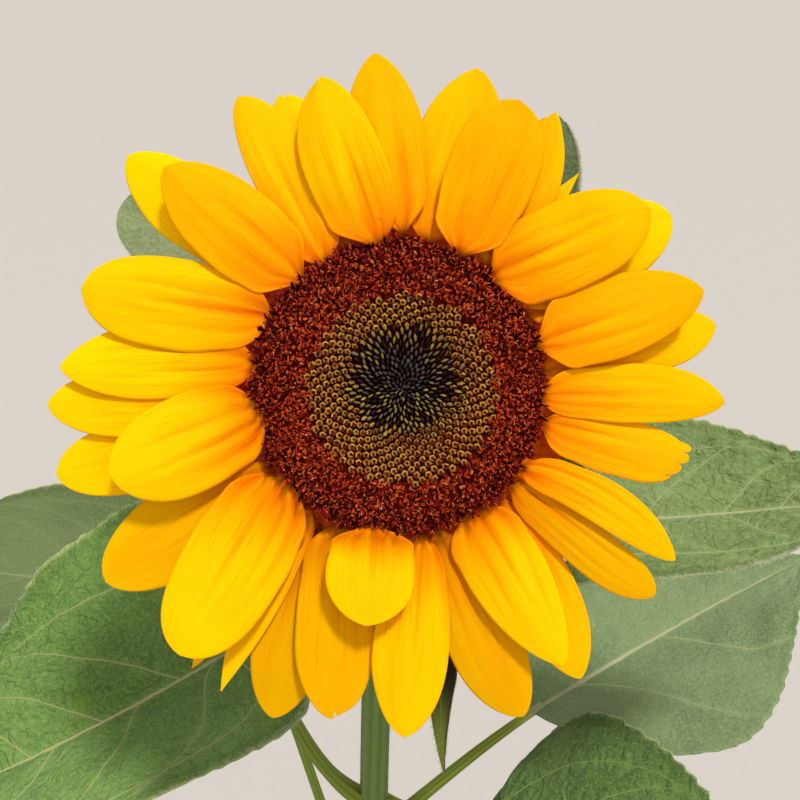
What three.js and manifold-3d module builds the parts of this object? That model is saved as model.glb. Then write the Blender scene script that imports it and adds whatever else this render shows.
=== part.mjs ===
// A sunflower plant, rooted in level ground: one ribbed stem, its leaves on their petioles,
// and one flower head that nods forward. Millimetres, +Z up. The origin is the middle of the
// stem's flat cut at ground level, and the head faces -Y and 30 degrees up.
import * as THREE from 'three';
import { mergeVertices } from 'three/addons/utils/BufferGeometryUtils.js';
import Module from 'manifold-3d';

const wasm = await Module();
wasm.setup();

// ---- Sizes of the whole plant ----
const HEAD = new THREE.Vector3(18, -62, 1070);   // middle of the head, in the plane where the rays leave it
const HEAD_TILT = 60;                            // degrees from facing straight up
const STEM_STRAIGHT = 988;                       // height where the stem starts to bend into the neck
const STEM_LEAN = 8;                             // sideways drift of the stem at STEM_LEAN_AT
const STEM_LEAN_AT = 860;
const STEM_SWAY = 3;
const STEM_FOOT = 9.1;                           // stem radius above the flare
const STEM_LOSS = 3.3;                           // radius lost up to the neck
const FLARE = 4.2;                               // extra radius of the root flare at the cut
const FLARE_FADE = 36;                           // height over which the flare fades
const NECK_SWELL = 3.2;                          // extra radius where the neck meets the head
const GAP = 0.45;                                // clearance between separate solids
const SMOOTHING = 0.16;                         // furthest that dropping small faces may move a surface

// ---- Sizes of the head, measured along its own axis (w) and out from it (r) ----
const RIM = 38;                                  // where the ray florets start to rise
const RAY_ROOT = 35.2;                           // radius of the inner end of a ray, under the disc's edge
const RAY_THICK = 0.5;
const RAY_STEP = 0.85;                           // rise of each layer of rays over the one below
const DISC_R = 40;
const RECEPTACLE_BACK = -25;
const BRACTS = 18;
const BRACT_LENGTH = 27;
const BRACT_WIDTH = 13;

// name, base angle, base radius, tip angle, tip radius, width, layer, rise at the tip,
// place of the greatest width, base width share, base growth, tip form p, tip form q, sideways bow, lopsidedness
const RAYS = [
  ['ray_01', 78.5, 40.3, 75.2, 87.3, 21.9, 1, 1.5, 0.55, 0.35, 0.85, 2.2, 0.66, 0, 0],
  ['ray_02', 64.7, 39.0, 66.7, 79.4, 23.7, 5, 9, 0.52, 0.36, 0.7, 2.8, 0.54, 0, 0],
  ['ray_03', 54.2, 41.2, 60.6, 82.2, 18.6, 2, 3, 0.5, 0.4, 0.8, 2.4, 0.64, 0, -0.08],
  ['ray_04', 53.9, 40.7, 49.6, 75.6, 7.0, 0, 0, 0.5, 0.6, 0.8, 1.4, 1.0, -0.03, 0],
  ['ray_05', 48.3, 38.8, 35.1, 79.6, 24.0, 4, 8, 0.44, 0.45, 0.65, 2.6, 0.56, 0, 0],
  ['ray_06', 40.6, 39.3, 32.0, 85.8, 22.4, 1, 1.5, 0.52, 0.4, 0.8, 2.6, 0.55, 0, 0],
  ['ray_07', 29.8, 40.9, 26.3, 76.2, 13.5, -1, -1.5, 0.5, 0.55, 0.8, 2.2, 0.65, 0, 0],
  ['ray_08', 16.1, 39.5, 17.4, 83.1, 21.8, 3, 6.5, 0.42, 0.4, 0.7, 2.3, 0.64, 0, 0.08],
  ['ray_09', 5.8, 40.1, 11.0, 87.3, 16.6, 0, 0, 0.58, 0.4, 0.8, 2.4, 0.62, 0, 0],
  ['ray_10', 355.7, 39.2, 357.2, 86.3, 15.9, 2, 3.5, 0.5, 0.45, 0.8, 2.3, 0.62, 0, 0.23],
  ['ray_11', 346.0, 41.0, 346.2, 80.0, 15.5, 1, 2, 0.55, 0.45, 0.8, 2.9, 0.5, 0, -0.2],
  ['ray_12', 327.6, 40.3, 328.1, 87.8, 12.3, 0, 1, 0.5, 0.5, 0.8, 2.2, 0.68, 0.067, 0],
  ['ray_13', 319.8, 41.5, 321.1, 90.0, 13.0, -1, -1.5, 0.6, 0.5, 0.8, 2.6, 0.58, -0.02, 0],
  ['ray_14', 312.4, 42.7, 302.2, 94.3, 17.9, -2, -3, 0.55, 0.4, 0.9, 2.2, 0.7, 0, 0.06],
  ['ray_15', 301.6, 39.6, 300.9, 85.5, 21.3, 0, 5, 0.36, 0.6, 0.7, 2.0, 0.72, 0, -0.06],
  ['ray_16', 285.8, 40.8, 291.0, 96.0, 19.7, -1, -1.5, 0.55, 0.35, 0.9, 2.4, 0.62, 0, -0.14],
  ['ray_17', 279.2, 40.6, 271.3, 93.1, 20.5, 1, 1.8, 0.55, 0.35, 0.95, 2.3, 0.62, 0, -0.03],
  ['ray_18', 260.6, 37.4, 262.9, 62.3, 23.7, 4, 18, 0.5, 0.6, 0.7, 2.2, 0.58, 0, 0],
  ['ray_19', 246.5, 41.2, 259.4, 90.0, 21.2, 0, 0, 0.58, 0.42, 0.8, 2.4, 0.56, 0, -0.04],
  ['ray_20', 241.4, 44.8, 249.4, 97.1, 19.6, -2, -3, 0.6, 0.4, 0.9, 2.2, 0.62, 0, -0.04],
  ['ray_21', 233.1, 41.0, 239.9, 95.1, 11.9, -1, -1.5, 0.4, 0.6, 0.7, 1.6, 0.9, -0.015, 0],
  ['ray_22', 227.1, 42.0, 233.9, 96.3, 13.7, -3, -4, 0.45, 0.5, 0.7, 1.6, 0.9, 0, 0],
  ['ray_23', 218.9, 39.3, 230.9, 90.1, 27.4, 2, 5, 0.44, 0.4, 0.7, 2.9, 0.52, 0, 0.02],
  ['ray_24', 211.8, 40.9, 213.4, 94.3, 23.9, 0, -0.5, 0.52, 0.4, 0.75, 2.4, 0.58, 0, 0.04],
  ['ray_25', 190.5, 36.7, 197.8, 77.5, 25.7, 3, 9, 0.45, 0.35, 0.65, 2.7, 0.55, 0, 0],
  ['ray_26', 198.0, 43.8, 194.4, 95.0, 19.4, -1, -1.5, 0.55, 0.4, 0.8, 2.6, 0.55, 0, -0.06],
  ['ray_27', 184.8, 41.7, 183.0, 93.5, 19.0, 0, 0.5, 0.52, 0.4, 0.8, 2.4, 0.6, 0, 0],
  ['ray_28', 171.3, 38.9, 176.8, 89.3, 20.2, 1, 2.5, 0.5, 0.35, 0.8, 2.2, 0.68, 0, -0.1],
  ['ray_29', 151.1, 38.9, 162.7, 86.5, 24.6, 2, 4, 0.5, 0.3, 0.7, 2.7, 0.55, 0, 0.04],
  ['ray_30', 132.9, 42.3, 139.5, 95.3, 20.6, 0, 0, 0.52, 0.4, 0.8, 2.4, 0.6, 0, 0.14],
  ['ray_31', 132.2, 38.6, 136.8, 82.8, 23.3, 3, 8, 0.42, 0.35, 0.7, 2.4, 0.62, 0, 0.04],
  ['ray_32', 121.0, 39.2, 118.7, 87.8, 17.6, 1, 1.5, 0.5, 0.45, 0.7, 2.3, 0.6, 0, -0.22],
  ['ray_33', 110.1, 40.9, 111.2, 85.2, 15.7, -1, -1.5, 0.5, 0.5, 0.7, 2.8, 0.5, 0, 0],
  ['ray_34', 96.7, 38.6, 104.1, 82.7, 22.0, 4, 6, 0.45, 0.5, 0.7, 2.3, 0.6, 0, 0.16],
  ['ray_35', 87.8, 41.6, 93.8, 86.8, 20.5, 3, 4.5, 0.5, 0.3, 0.7, 2.2, 0.68, 0, 0.05],
];

// ---- Leaves ----
// Each leaf: where its petiole leaves the stem (from), where the blade starts (joint), its tip,
// the half widths left and right of the midrib seen from the petiole, and its form.
const LEAF_FORM = { bulge: 8, side: 0, roll: 0, m: 0.34, p: 1.7, q: 1.0, b0: 0.6, lobe: 0.12, fl: 14, fr: 14, curl: 0.1, stalk: 3.6,
  lift: 0.6, spring: 0.42, hold: 0.3 };
const NEAR_LEAVES = [
  { name: 'leaf_left_front', from: 820, joint: [-46.3, -3.0, 918.2], tip: [-173.5, -47.5, 874.2], wl: 61.4, wr: 81.4, bulge: 4.6, side: 9.7, roll: -12.4, m: 0.25, p: 1.35, b0: 0.65, lobe: 0.25, lobeRight: 0.175, fl: 26, fr: 25.5, lift: 0.5, hold: 0.17, stalk: 3.4 },
  { name: 'leaf_left_back', from: 728, joint: [-52.6, 50.0, 885.2], tip: [-236.0, 66.0, 904.7], wl: 40, wr: 71, bulge: -5.7, side: -12, roll: -2.3, m: 0.33, p: 2.0, b0: 0.77, lobe: 0.21, fl: -10, fr: 17.9, spring: 0.2, hold: 0.08, stalk: 2.8 },
  { name: 'leaf_right_top', from: 930, joint: [84.4, -24.5, 996.9], tip: [182.3, -29.7, 1011.9], wl: 39.6, wr: 30, bulge: -3.1, side: 1.8, roll: 20.3, m: 0.2, p: 1.8, b0: 0.59, lobe: 0.25, lobeRight: 0.38, fl: 19.6, fr: 19.1, stalk: 2.8 },
  { name: 'leaf_right_back', from: 797, joint: [79.6, 23.7, 850.5], tip: [220.0, 82.5, 894.4], wl: 62, wr: 73.5, bulge: -5, side: 6.3, roll: -5.4, m: 0.41, p: 1.8, q: 1.1, b0: 0.66, lobe: 0.02, fl: 10, fr: 8.5, stalk: 3.2 },
  { name: 'leaf_right_front', from: 822, joint: [50.8, -23.7, 828.4], tip: [155.7, -85.6, 859.4], wl: 63, wr: 52, bulge: 8.6, roll: 10.2, m: 0.31, p: 1.8, b0: 0.69, lobe: 0, fl: 13.2, fr: 10, lift: 0.3 },
];
// name, height, azimuth, petiole length, petiole rise, blade length, blade drop, half width
const SPIRAL_LEAVES = [
  ['leaf_01', 95, 70, 95, 30, 120, 34, 45],
  ['leaf_02', 165, 205, 110, 34, 150, 30, 58],
  ['leaf_03', 235, 330, 125, 38, 175, 26, 70],
  ['leaf_04', 305, 100, 130, 40, 190, 24, 78],
  ['leaf_05', 380, 235, 130, 42, 200, 22, 82],
  ['leaf_06', 450, 0, 130, 42, 205, 20, 84],
  ['leaf_07', 520, 150, 125, 44, 200, 18, 82],
  ['leaf_08', 585, 258, 120, 44, 195, 18, 78],
  ['leaf_09', 645, 352, 115, 45, 185, 16, 74],
  ['leaf_10', 700, 222, 110, 45, 175, 16, 70],
  ['leaf_11', 750, 290, 105, 45, 165, 14, 64],
  ['leaf_12', 893, 118, 90, 46, 145, 8, 50],
  ['leaf_13', 945, 62, 80, 44, 120, 6, 42],
];
// Leafy bracts close behind the head. neck is a place on the neck, 0 at its foot and 1 at the head.
const BRACT_LEAVES = [
  { name: 'bract_leaf_left', neck: 0.45, joint: [-13.3, -5.3, 1070.3], tip: [-68.6, -1.0, 1098.5], wl: 15, wr: 14, bulge: 2, roll: -60, m: 0.5, p: 3, q: 0.5, lobe: 0, fl: 6, fr: 6, curl: 0.05, stalk: 1.7 },
  { name: 'bract_leaf_right', neck: 0.4, joint: [58.0, -2.5, 1078.5], tip: [68.8, 16.9, 1123.1], wl: 12, wr: 13.2, bulge: 2, roll: 40, m: 0.25, p: 3.35, q: 0.73, lobe: 0, fl: 6, fr: 6, curl: 0.05, stalk: 1.5 },
  { name: 'bract_leaf_low', neck: 0.62, joint: [35.0, -60.0, 994.0], tip: [32.9, -81.4, 938.3], wl: 4.7, wr: 4.7, bulge: 2, side: -2, m: 0.43, p: 1.05, q: 1.0, lobe: 0, fl: 16, fr: 16, curl: 0, stalk: 1.9, spring: 0.02 },
];

// ---- Colours ----
const GREEN_STEM = { color: 0x7f9a55, roughness: 0.75, metalness: 0 };
const GREEN_LEAF = { color: 0x4d7a3f, roughness: 0.7, metalness: 0 };
const GREEN_BRACT = { color: 0x6f8f4a, roughness: 0.75, metalness: 0 };
const YELLOW = { color: 0xffc400, roughness: 0.6, metalness: 0 };
const BROWN = { color: 0x4a1c0c, roughness: 0.9, metalness: 0 };

// ---- Helpers ----
const rad = THREE.MathUtils.degToRad;
const Z = new THREE.Vector3(0, 0, 1);

function clean(geometry) {
  const g = geometry.clone();
  g.deleteAttribute('normal');
  g.deleteAttribute('uv');
  return mergeVertices(g, 1e-4);
}

// Moves every vertex of a geometry by a function that gives its new place.
function bend(geometry, place) {
  const g = clean(geometry);
  const p = g.attributes.position;
  const v = new THREE.Vector3();
  for (let i = 0; i < p.count; i++) {
    const q = place(v.fromBufferAttribute(p, i).clone());
    p.setXYZ(i, q.x, q.y, q.z);
  }
  return g;
}

function turnFacesOut(g) {
  const p = g.attributes.position, n = g.index.array;
  let six = 0;
  const a = new THREE.Vector3(), b = new THREE.Vector3(), c = new THREE.Vector3();
  for (let i = 0; i < n.length; i += 3) {
    a.fromBufferAttribute(p, n[i]); b.fromBufferAttribute(p, n[i + 1]); c.fromBufferAttribute(p, n[i + 2]);
    six += a.dot(b.cross(c));
  }
  if (six < 0) for (let i = 0; i < n.length; i += 3) { const t = n[i + 1]; n[i + 1] = n[i + 2]; n[i + 2] = t; }
  return g;
}

function toSolid(geometry) {
  const g = turnFacesOut(clean(geometry));
  return new wasm.Manifold(new wasm.Mesh({ numProp: 3, vertProperties: Float32Array.from(g.attributes.position.array), triVerts: Uint32Array.from(g.index.array) }));
}

function toGeometry(solid) {
  const m = solid.getMesh();
  const g = new THREE.BufferGeometry();
  const xyz = new Float32Array(m.numVert * 3);
  for (let i = 0; i < m.numVert; i++) for (let k = 0; k < 3; k++) xyz[3 * i + k] = m.vertProperties[i * m.numProp + k];
  g.setAttribute('position', new THREE.BufferAttribute(xyz, 3));
  g.setIndex(Array.from(m.triVerts));
  return g;
}

// The largest piece of a solid that a cut may have left in several.
function largest(solid) {
  const pieces = solid.decompose();
  return pieces.reduce((best, s) => (s.volume() > best.volume() ? s : best), pieces[0]);
}

function add(parent, name, geometry, look) {
  const g = geometry.clone();
  g.computeVertexNormals();
  const mesh = new THREE.Mesh(g, new THREE.MeshStandardMaterial({ ...look, side: THREE.FrontSide }));
  mesh.name = name;
  parent.add(mesh);
  return mesh;
}

// ---- Stem ----
const headAxis = new THREE.Vector3(0, -Math.sin(rad(HEAD_TILT)), Math.cos(rad(HEAD_TILT)));
const neckFoot = straightAt(STEM_STRAIGHT);
const neckEnd = HEAD.clone().addScaledVector(headAxis, RECEPTACLE_BACK - GAP);
const neck = new THREE.CubicBezierCurve3(
  neckFoot,
  straightAt(STEM_STRAIGHT).addScaledVector(straightAt(STEM_STRAIGHT).sub(straightAt(STEM_STRAIGHT - 1)).normalize(), 32),
  neckEnd.clone().addScaledVector(headAxis, -30),
  neckEnd,
);

function straightAt(z) {
  return new THREE.Vector3(STEM_LEAN * (z / STEM_LEAN_AT) ** 3, -STEM_SWAY * Math.sin((Math.PI * z) / STEM_STRAIGHT), z);
}

// Places along the stem: s from 0 at the cut to 1 at the neck's foot, then to 2 at the head.
function stemPoint(s) { return s <= 1 ? straightAt(s * STEM_STRAIGHT) : neck.getPoint(s - 1); }
function stemTangent(s) {
  if (s <= 0) return Z.clone();
  if (s < 1) return stemPoint(s + 1e-3).sub(stemPoint(s - 1e-3)).normalize();
  return neck.getTangent(Math.min(1, s - 1));
}
function stemRadius(s) {
  if (s <= 1) return STEM_FOOT - STEM_LOSS * s ** 1.1 + FLARE * Math.exp((-s * STEM_STRAIGHT) / FLARE_FADE);
  return STEM_FOOT - STEM_LOSS - 0.4 * (s - 1) + NECK_SWELL * (s - 1) ** 4;
}

function stemGeometry(extra) {
  const sides = 14, rings = 18;
  const steps = [];
  for (let i = 0; i <= rings; i++) {
    const f = i / rings;
    steps.push(f < 0.12 ? f * 0.5 : f < 0.6 ? 0.06 + ((f - 0.12) / 0.48) * 0.94 : 1 + (f - 0.6) / 0.4);
  }
  return bend(new THREE.CylinderGeometry(1, 1, 1, sides, rings), (v) => {
    const s = steps[Math.round((v.y + 0.5) * rings)];
    const t = stemTangent(s);
    const e1 = new THREE.Vector3(1, 0, 0).addScaledVector(t, -t.x).normalize();
    const e2 = t.clone().cross(e1);
    const r = stemRadius(s) + extra;
    const at = stemPoint(s);
    if (extra && s === 0) at.z -= 2;
    if (extra && s === 2) at.addScaledVector(headAxis, 2);
    return at.addScaledVector(e1, v.x * r).addScaledVector(e2, v.z * r);
  });
}

const group = new THREE.Group();
add(group, 'stem', turnFacesOut(stemGeometry(0)), GREEN_STEM);
const stemClearance = toSolid(stemGeometry(GAP));

// ---- Head: receptacle with its bracts, disc and rays, in the head's own axes ----
const head = new THREE.Group();
head.position.copy(HEAD);
head.rotation.x = rad(HEAD_TILT);
group.add(head);

const dish = (r) => 0.10 * (r - RIM) - 0.0012 * (r - RIM) ** 2;
const rayHeight = (r, layer, rise) => dish(r) + layer * RAY_STEP + (rise * Math.max(0, r - RIM)) / 50;

function lathe(profile, sides) {
  return bend(new THREE.LatheGeometry(profile.map(([r, w]) => new THREE.Vector2(r, w)), sides), (v) => new THREE.Vector3(v.x, -v.z, v.y));
}

const receptacleBody = lathe([[0, -25], [8, -25], [14, -21.5], [24, -17], [32, -12.5], [36.5, -8], [36.5, -5], [0, -5]], 26);
let receptacle = toSolid(receptacleBody);
for (let k = 0; k < BRACTS; k++) {
  const a = (2 * Math.PI * (k + 0.5 * (k % 2) * 0.2)) / BRACTS;
  const long = BRACT_LENGTH * (k % 2 ? 1 : 0.86);
  const blade = bend(new THREE.BoxGeometry(1, 2, 1, 3, 2, 1), (v) => {
    const u = v.x + 0.5;
    const half = (BRACT_WIDTH / 2) * Math.max(0.07, (0.75 + 0.25 * Math.sin(Math.PI * Math.min(1, u * 1.6))) * (1 - u ** 1.8));
    const r = 31 + long * u;
    const w = -10.5 + 1.6 * u - 4.2 * u * u - (k % 2 ? 0 : 1.2) + 1.2 * v.y * v.y * (1 - u) + v.z * (1.5 - 0.9 * u);
    const side = v.y * half;
    return new THREE.Vector3(r * Math.cos(a) - side * Math.sin(a), r * Math.sin(a) + side * Math.cos(a), w);
  });
  receptacle = receptacle.add(toSolid(blade));
}
add(head, 'receptacle', toGeometry(receptacle.simplify(SMOOTHING)), GREEN_BRACT);

add(head, 'disc', turnFacesOut(lathe([[0, -4.6], [31, -4.6], [31, 5.4], [39.2, 5.4], [DISC_R, 7.4], [38.4, 9.6], [31, 10.2], [20, 9.2], [8, 7.6], [0, 6.9]], 28)), BROWN);

function rayGeometry([, baseAngle, baseR, tipAngle, tipR, width, layer, rise, m, b0, k, p, q, bow, lop]) {
  const base = new THREE.Vector2(baseR * Math.cos(rad(baseAngle)), baseR * Math.sin(rad(baseAngle)));
  const tip = new THREE.Vector2(tipR * Math.cos(rad(tipAngle)), tipR * Math.sin(rad(tipAngle)));
  const along = tip.clone().sub(base);
  const length = along.length();
  along.normalize();
  const across = new THREE.Vector2(-along.y, along.x);
  const outward = along.dot(base.clone().normalize());
  const stations = [-(baseR - RAY_ROOT) / (outward * length), 0.16, 0.4, 0.66, 0.87, 1];
  return bend(new THREE.BoxGeometry(1, 2, 1, stations.length - 1, 2, 1), (v) => {
    const s = stations[Math.round((v.x + 0.5) * (stations.length - 1))];
    const t = Math.max(0, s);
    const g = t < m ? b0 + (1 - b0) * Math.sin((Math.PI / 2) * (t / m)) ** k : Math.max(0, 1 - ((t - m) / (1 - m)) ** p) ** q;
    const half = Math.max(0.7, (width / 2) * g) * (1 + lop * Math.sign(v.y));
    const c = 4 * bow * t * (1 - t) * length + v.y * half;
    const at = base.clone().addScaledVector(along, s * length).addScaledVector(across, c);
    const w = rayHeight(at.length(), layer, rise);
    return new THREE.Vector3(at.x, at.y, w + v.z * RAY_THICK);
  });
}
for (const ray of RAYS) add(head, ray[0], turnFacesOut(rayGeometry(ray)), YELLOW);

// ---- Leaves ----
function leafSurface(leaf, u, t) {
  const up = Z.clone().addScaledVector(leaf.axis, -leaf.axis.z).normalize();
  const side = up.clone().cross(leaf.axis);
  const mid = leaf.joint.clone().add(leaf.tip).multiplyScalar(0.5).addScaledVector(up, 2 * leaf.bulge).addScaledVector(side, 2 * leaf.side);
  const c = leaf.joint.clone().multiplyScalar((1 - u) ** 2).addScaledVector(mid, 2 * u * (1 - u)).addScaledVector(leaf.tip, u * u);
  const tan = mid.clone().sub(leaf.joint).multiplyScalar(1 - u).addScaledVector(leaf.tip.clone().sub(mid), u).normalize();
  const b0 = up.clone().cross(tan).normalize();
  const n0 = tan.clone().cross(b0);
  const across = b0.clone().multiplyScalar(Math.cos(rad(leaf.roll))).addScaledVector(n0, Math.sin(rad(leaf.roll)));
  const normal = tan.clone().cross(across);
  const g = u < leaf.m ? Math.sin((Math.PI / 2) * (u / leaf.m)) ** leaf.b0 : Math.max(0, 1 - ((u - leaf.m) / (1 - leaf.m)) ** leaf.p) ** leaf.q;
  const half = Math.max(0.9, (t > 0 ? leaf.wl : leaf.wr) * g);
  const fold = rad(t > 0 ? leaf.fl : leaf.fr);
  const a = Math.abs(t);
  const at = c.addScaledVector(across, t * half * Math.cos(fold)).addScaledVector(normal, a * half * Math.sin(fold) - leaf.curl * a * a * half);
  const lobe = t > 0 ? leaf.lobe : leaf.lobeRight ?? leaf.lobe;
  at.addScaledVector(tan, -lobe * leaf.length * a ** 1.3 * Math.sin(Math.PI * Math.min(1, u / 0.4)));
  return { at, normal };
}

function bladeGeometry(leaf) {
  const stations = [0, 0.09, 0.26, 0.5, 0.77, 1];
  return bend(new THREE.BoxGeometry(1, 2, 1, stations.length - 1, 4, 1), (v) => {
    const u = stations[Math.round((v.x + 0.5) * (stations.length - 1))];
    const { at, normal } = leafSurface(leaf, u, v.y);
    const thick = 0.9 + 1.3 * (1 - Math.abs(v.y)) * (1 - u);
    return at.addScaledVector(normal, v.z * thick);
  });
}

function stalkCurve(leaf) {
  const j = leaf.joint;
  const aim = leafSurface(leaf, 0.06, 0).at.sub(leafSurface(leaf, 0, 0).at).normalize();
  const reach = j.distanceTo(leaf.foot);
  const end = j.clone().addScaledVector(aim, Math.min(6, 0.08 * leaf.length));
  const out = leaf.outward.clone().multiplyScalar(leaf.spring * reach);
  return new THREE.CubicBezierCurve3(leaf.foot, leaf.foot.clone().add(out), j.clone().addScaledVector(aim, -leaf.hold * reach), end);
}

function stalkGeometry(leaf) {
  const curve = stalkCurve(leaf);
  const rings = 5;
  return bend(new THREE.CylinderGeometry(1, 1, 1, 5, rings), (v) => {
    const f = v.y + 0.5;
    const t = curve.getTangent(f);
    const e1 = Z.clone().cross(t);
    if (e1.lengthSq() < 1e-4) e1.set(1, 0, 0);
    e1.normalize();
    const e2 = t.clone().cross(e1);
    const r = leaf.stalk * (1 - 0.42 * f) * (f < 0.2 ? 1 + 0.5 * (0.2 - f) / 0.2 : 1);
    return curve.getPoint(f).addScaledVector(e1, v.x * r).addScaledVector(e2, v.z * r);
  });
}

function addLeaf(spec, look) {
  const leaf = { ...LEAF_FORM, ...spec };
  leaf.joint = new THREE.Vector3(...spec.joint);
  leaf.tip = new THREE.Vector3(...spec.tip);
  leaf.axis = leaf.tip.clone().sub(leaf.joint);
  leaf.length = leaf.axis.length();
  leaf.axis.normalize();
  const s = spec.neck === undefined ? spec.from / STEM_STRAIGHT : 1 + spec.neck;
  leaf.foot = stemPoint(s);
  const tangent = stemTangent(s);
  const flat = leaf.joint.clone().sub(leaf.foot);
  flat.addScaledVector(tangent, -flat.dot(tangent)).normalize();
  leaf.outward = flat.addScaledVector(tangent, leaf.lift / (1 - leaf.lift * 0.35)).normalize();
  let solid = toSolid(bladeGeometry(leaf)).add(toSolid(stalkGeometry(leaf))).subtract(stemClearance);
  solid = largest(solid.simplify(SMOOTHING));
  add(group, leaf.name, toGeometry(solid), look);
}

for (const leaf of NEAR_LEAVES) addLeaf(leaf, GREEN_LEAF);
for (const [name, from, azimuth, stalk, rise, blade, drop, half] of SPIRAL_LEAVES) {
  const foot = straightAt(from);
  const dir = new THREE.Vector3(Math.cos(rad(azimuth)), Math.sin(rad(azimuth)), 0);
  const joint = foot.clone().addScaledVector(dir, stalk * Math.cos(rad(rise))).addScaledVector(Z, stalk * Math.sin(rad(rise)));
  const tip = joint.clone().addScaledVector(dir, blade * Math.cos(rad(drop))).addScaledVector(Z, -blade * Math.sin(rad(drop)));
  addLeaf({ name, from, joint: joint.toArray(), tip: tip.toArray(), wl: half, wr: half, bulge: 0.11 * blade, stalk: 3.2 + 0.012 * stalk }, GREEN_LEAF);
}
for (const leaf of BRACT_LEAVES) addLeaf(leaf, GREEN_BRACT);

export default group;
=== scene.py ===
import bpy
import math
import numpy as np
from mathutils import Matrix, Vector


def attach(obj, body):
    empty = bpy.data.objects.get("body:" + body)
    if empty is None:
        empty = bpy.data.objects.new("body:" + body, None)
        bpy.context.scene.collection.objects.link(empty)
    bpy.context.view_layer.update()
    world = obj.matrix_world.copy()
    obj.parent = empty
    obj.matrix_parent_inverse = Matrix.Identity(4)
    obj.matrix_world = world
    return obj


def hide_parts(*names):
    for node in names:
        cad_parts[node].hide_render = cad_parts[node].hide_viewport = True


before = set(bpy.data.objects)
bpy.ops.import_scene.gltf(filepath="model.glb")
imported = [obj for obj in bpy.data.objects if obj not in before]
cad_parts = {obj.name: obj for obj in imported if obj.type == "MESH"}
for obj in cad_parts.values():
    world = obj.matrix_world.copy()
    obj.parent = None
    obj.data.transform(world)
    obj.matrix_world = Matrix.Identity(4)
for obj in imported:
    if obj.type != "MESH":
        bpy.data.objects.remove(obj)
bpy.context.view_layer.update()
MM = 0.001
PI = math.pi

# ------------------------------------------------------------------ sizes shared with the solid model
HEAD = np.array([18.0, -62.0, 1070.0])
TILT = math.radians(60)
HU = np.array([1.0, 0.0, 0.0])
HV = np.array([0.0, math.cos(TILT), math.sin(TILT)])
HN = np.array([0.0, -math.sin(TILT), math.cos(TILT)])
STEM_STRAIGHT, STEM_LEAN, STEM_LEAN_AT, STEM_SWAY = 988.0, 8.0, 860.0, 3.0
STEM_FOOT, STEM_LOSS, FLARE, FLARE_FADE, NECK_SWELL = 9.1, 3.3, 4.2, 36.0, 3.2
RIM, RAY_ROOT, RAY_STEP = 38.0, 35.2, 0.9
RECEPTACLE_BACK, GAP = -25.0, 0.45

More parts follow.
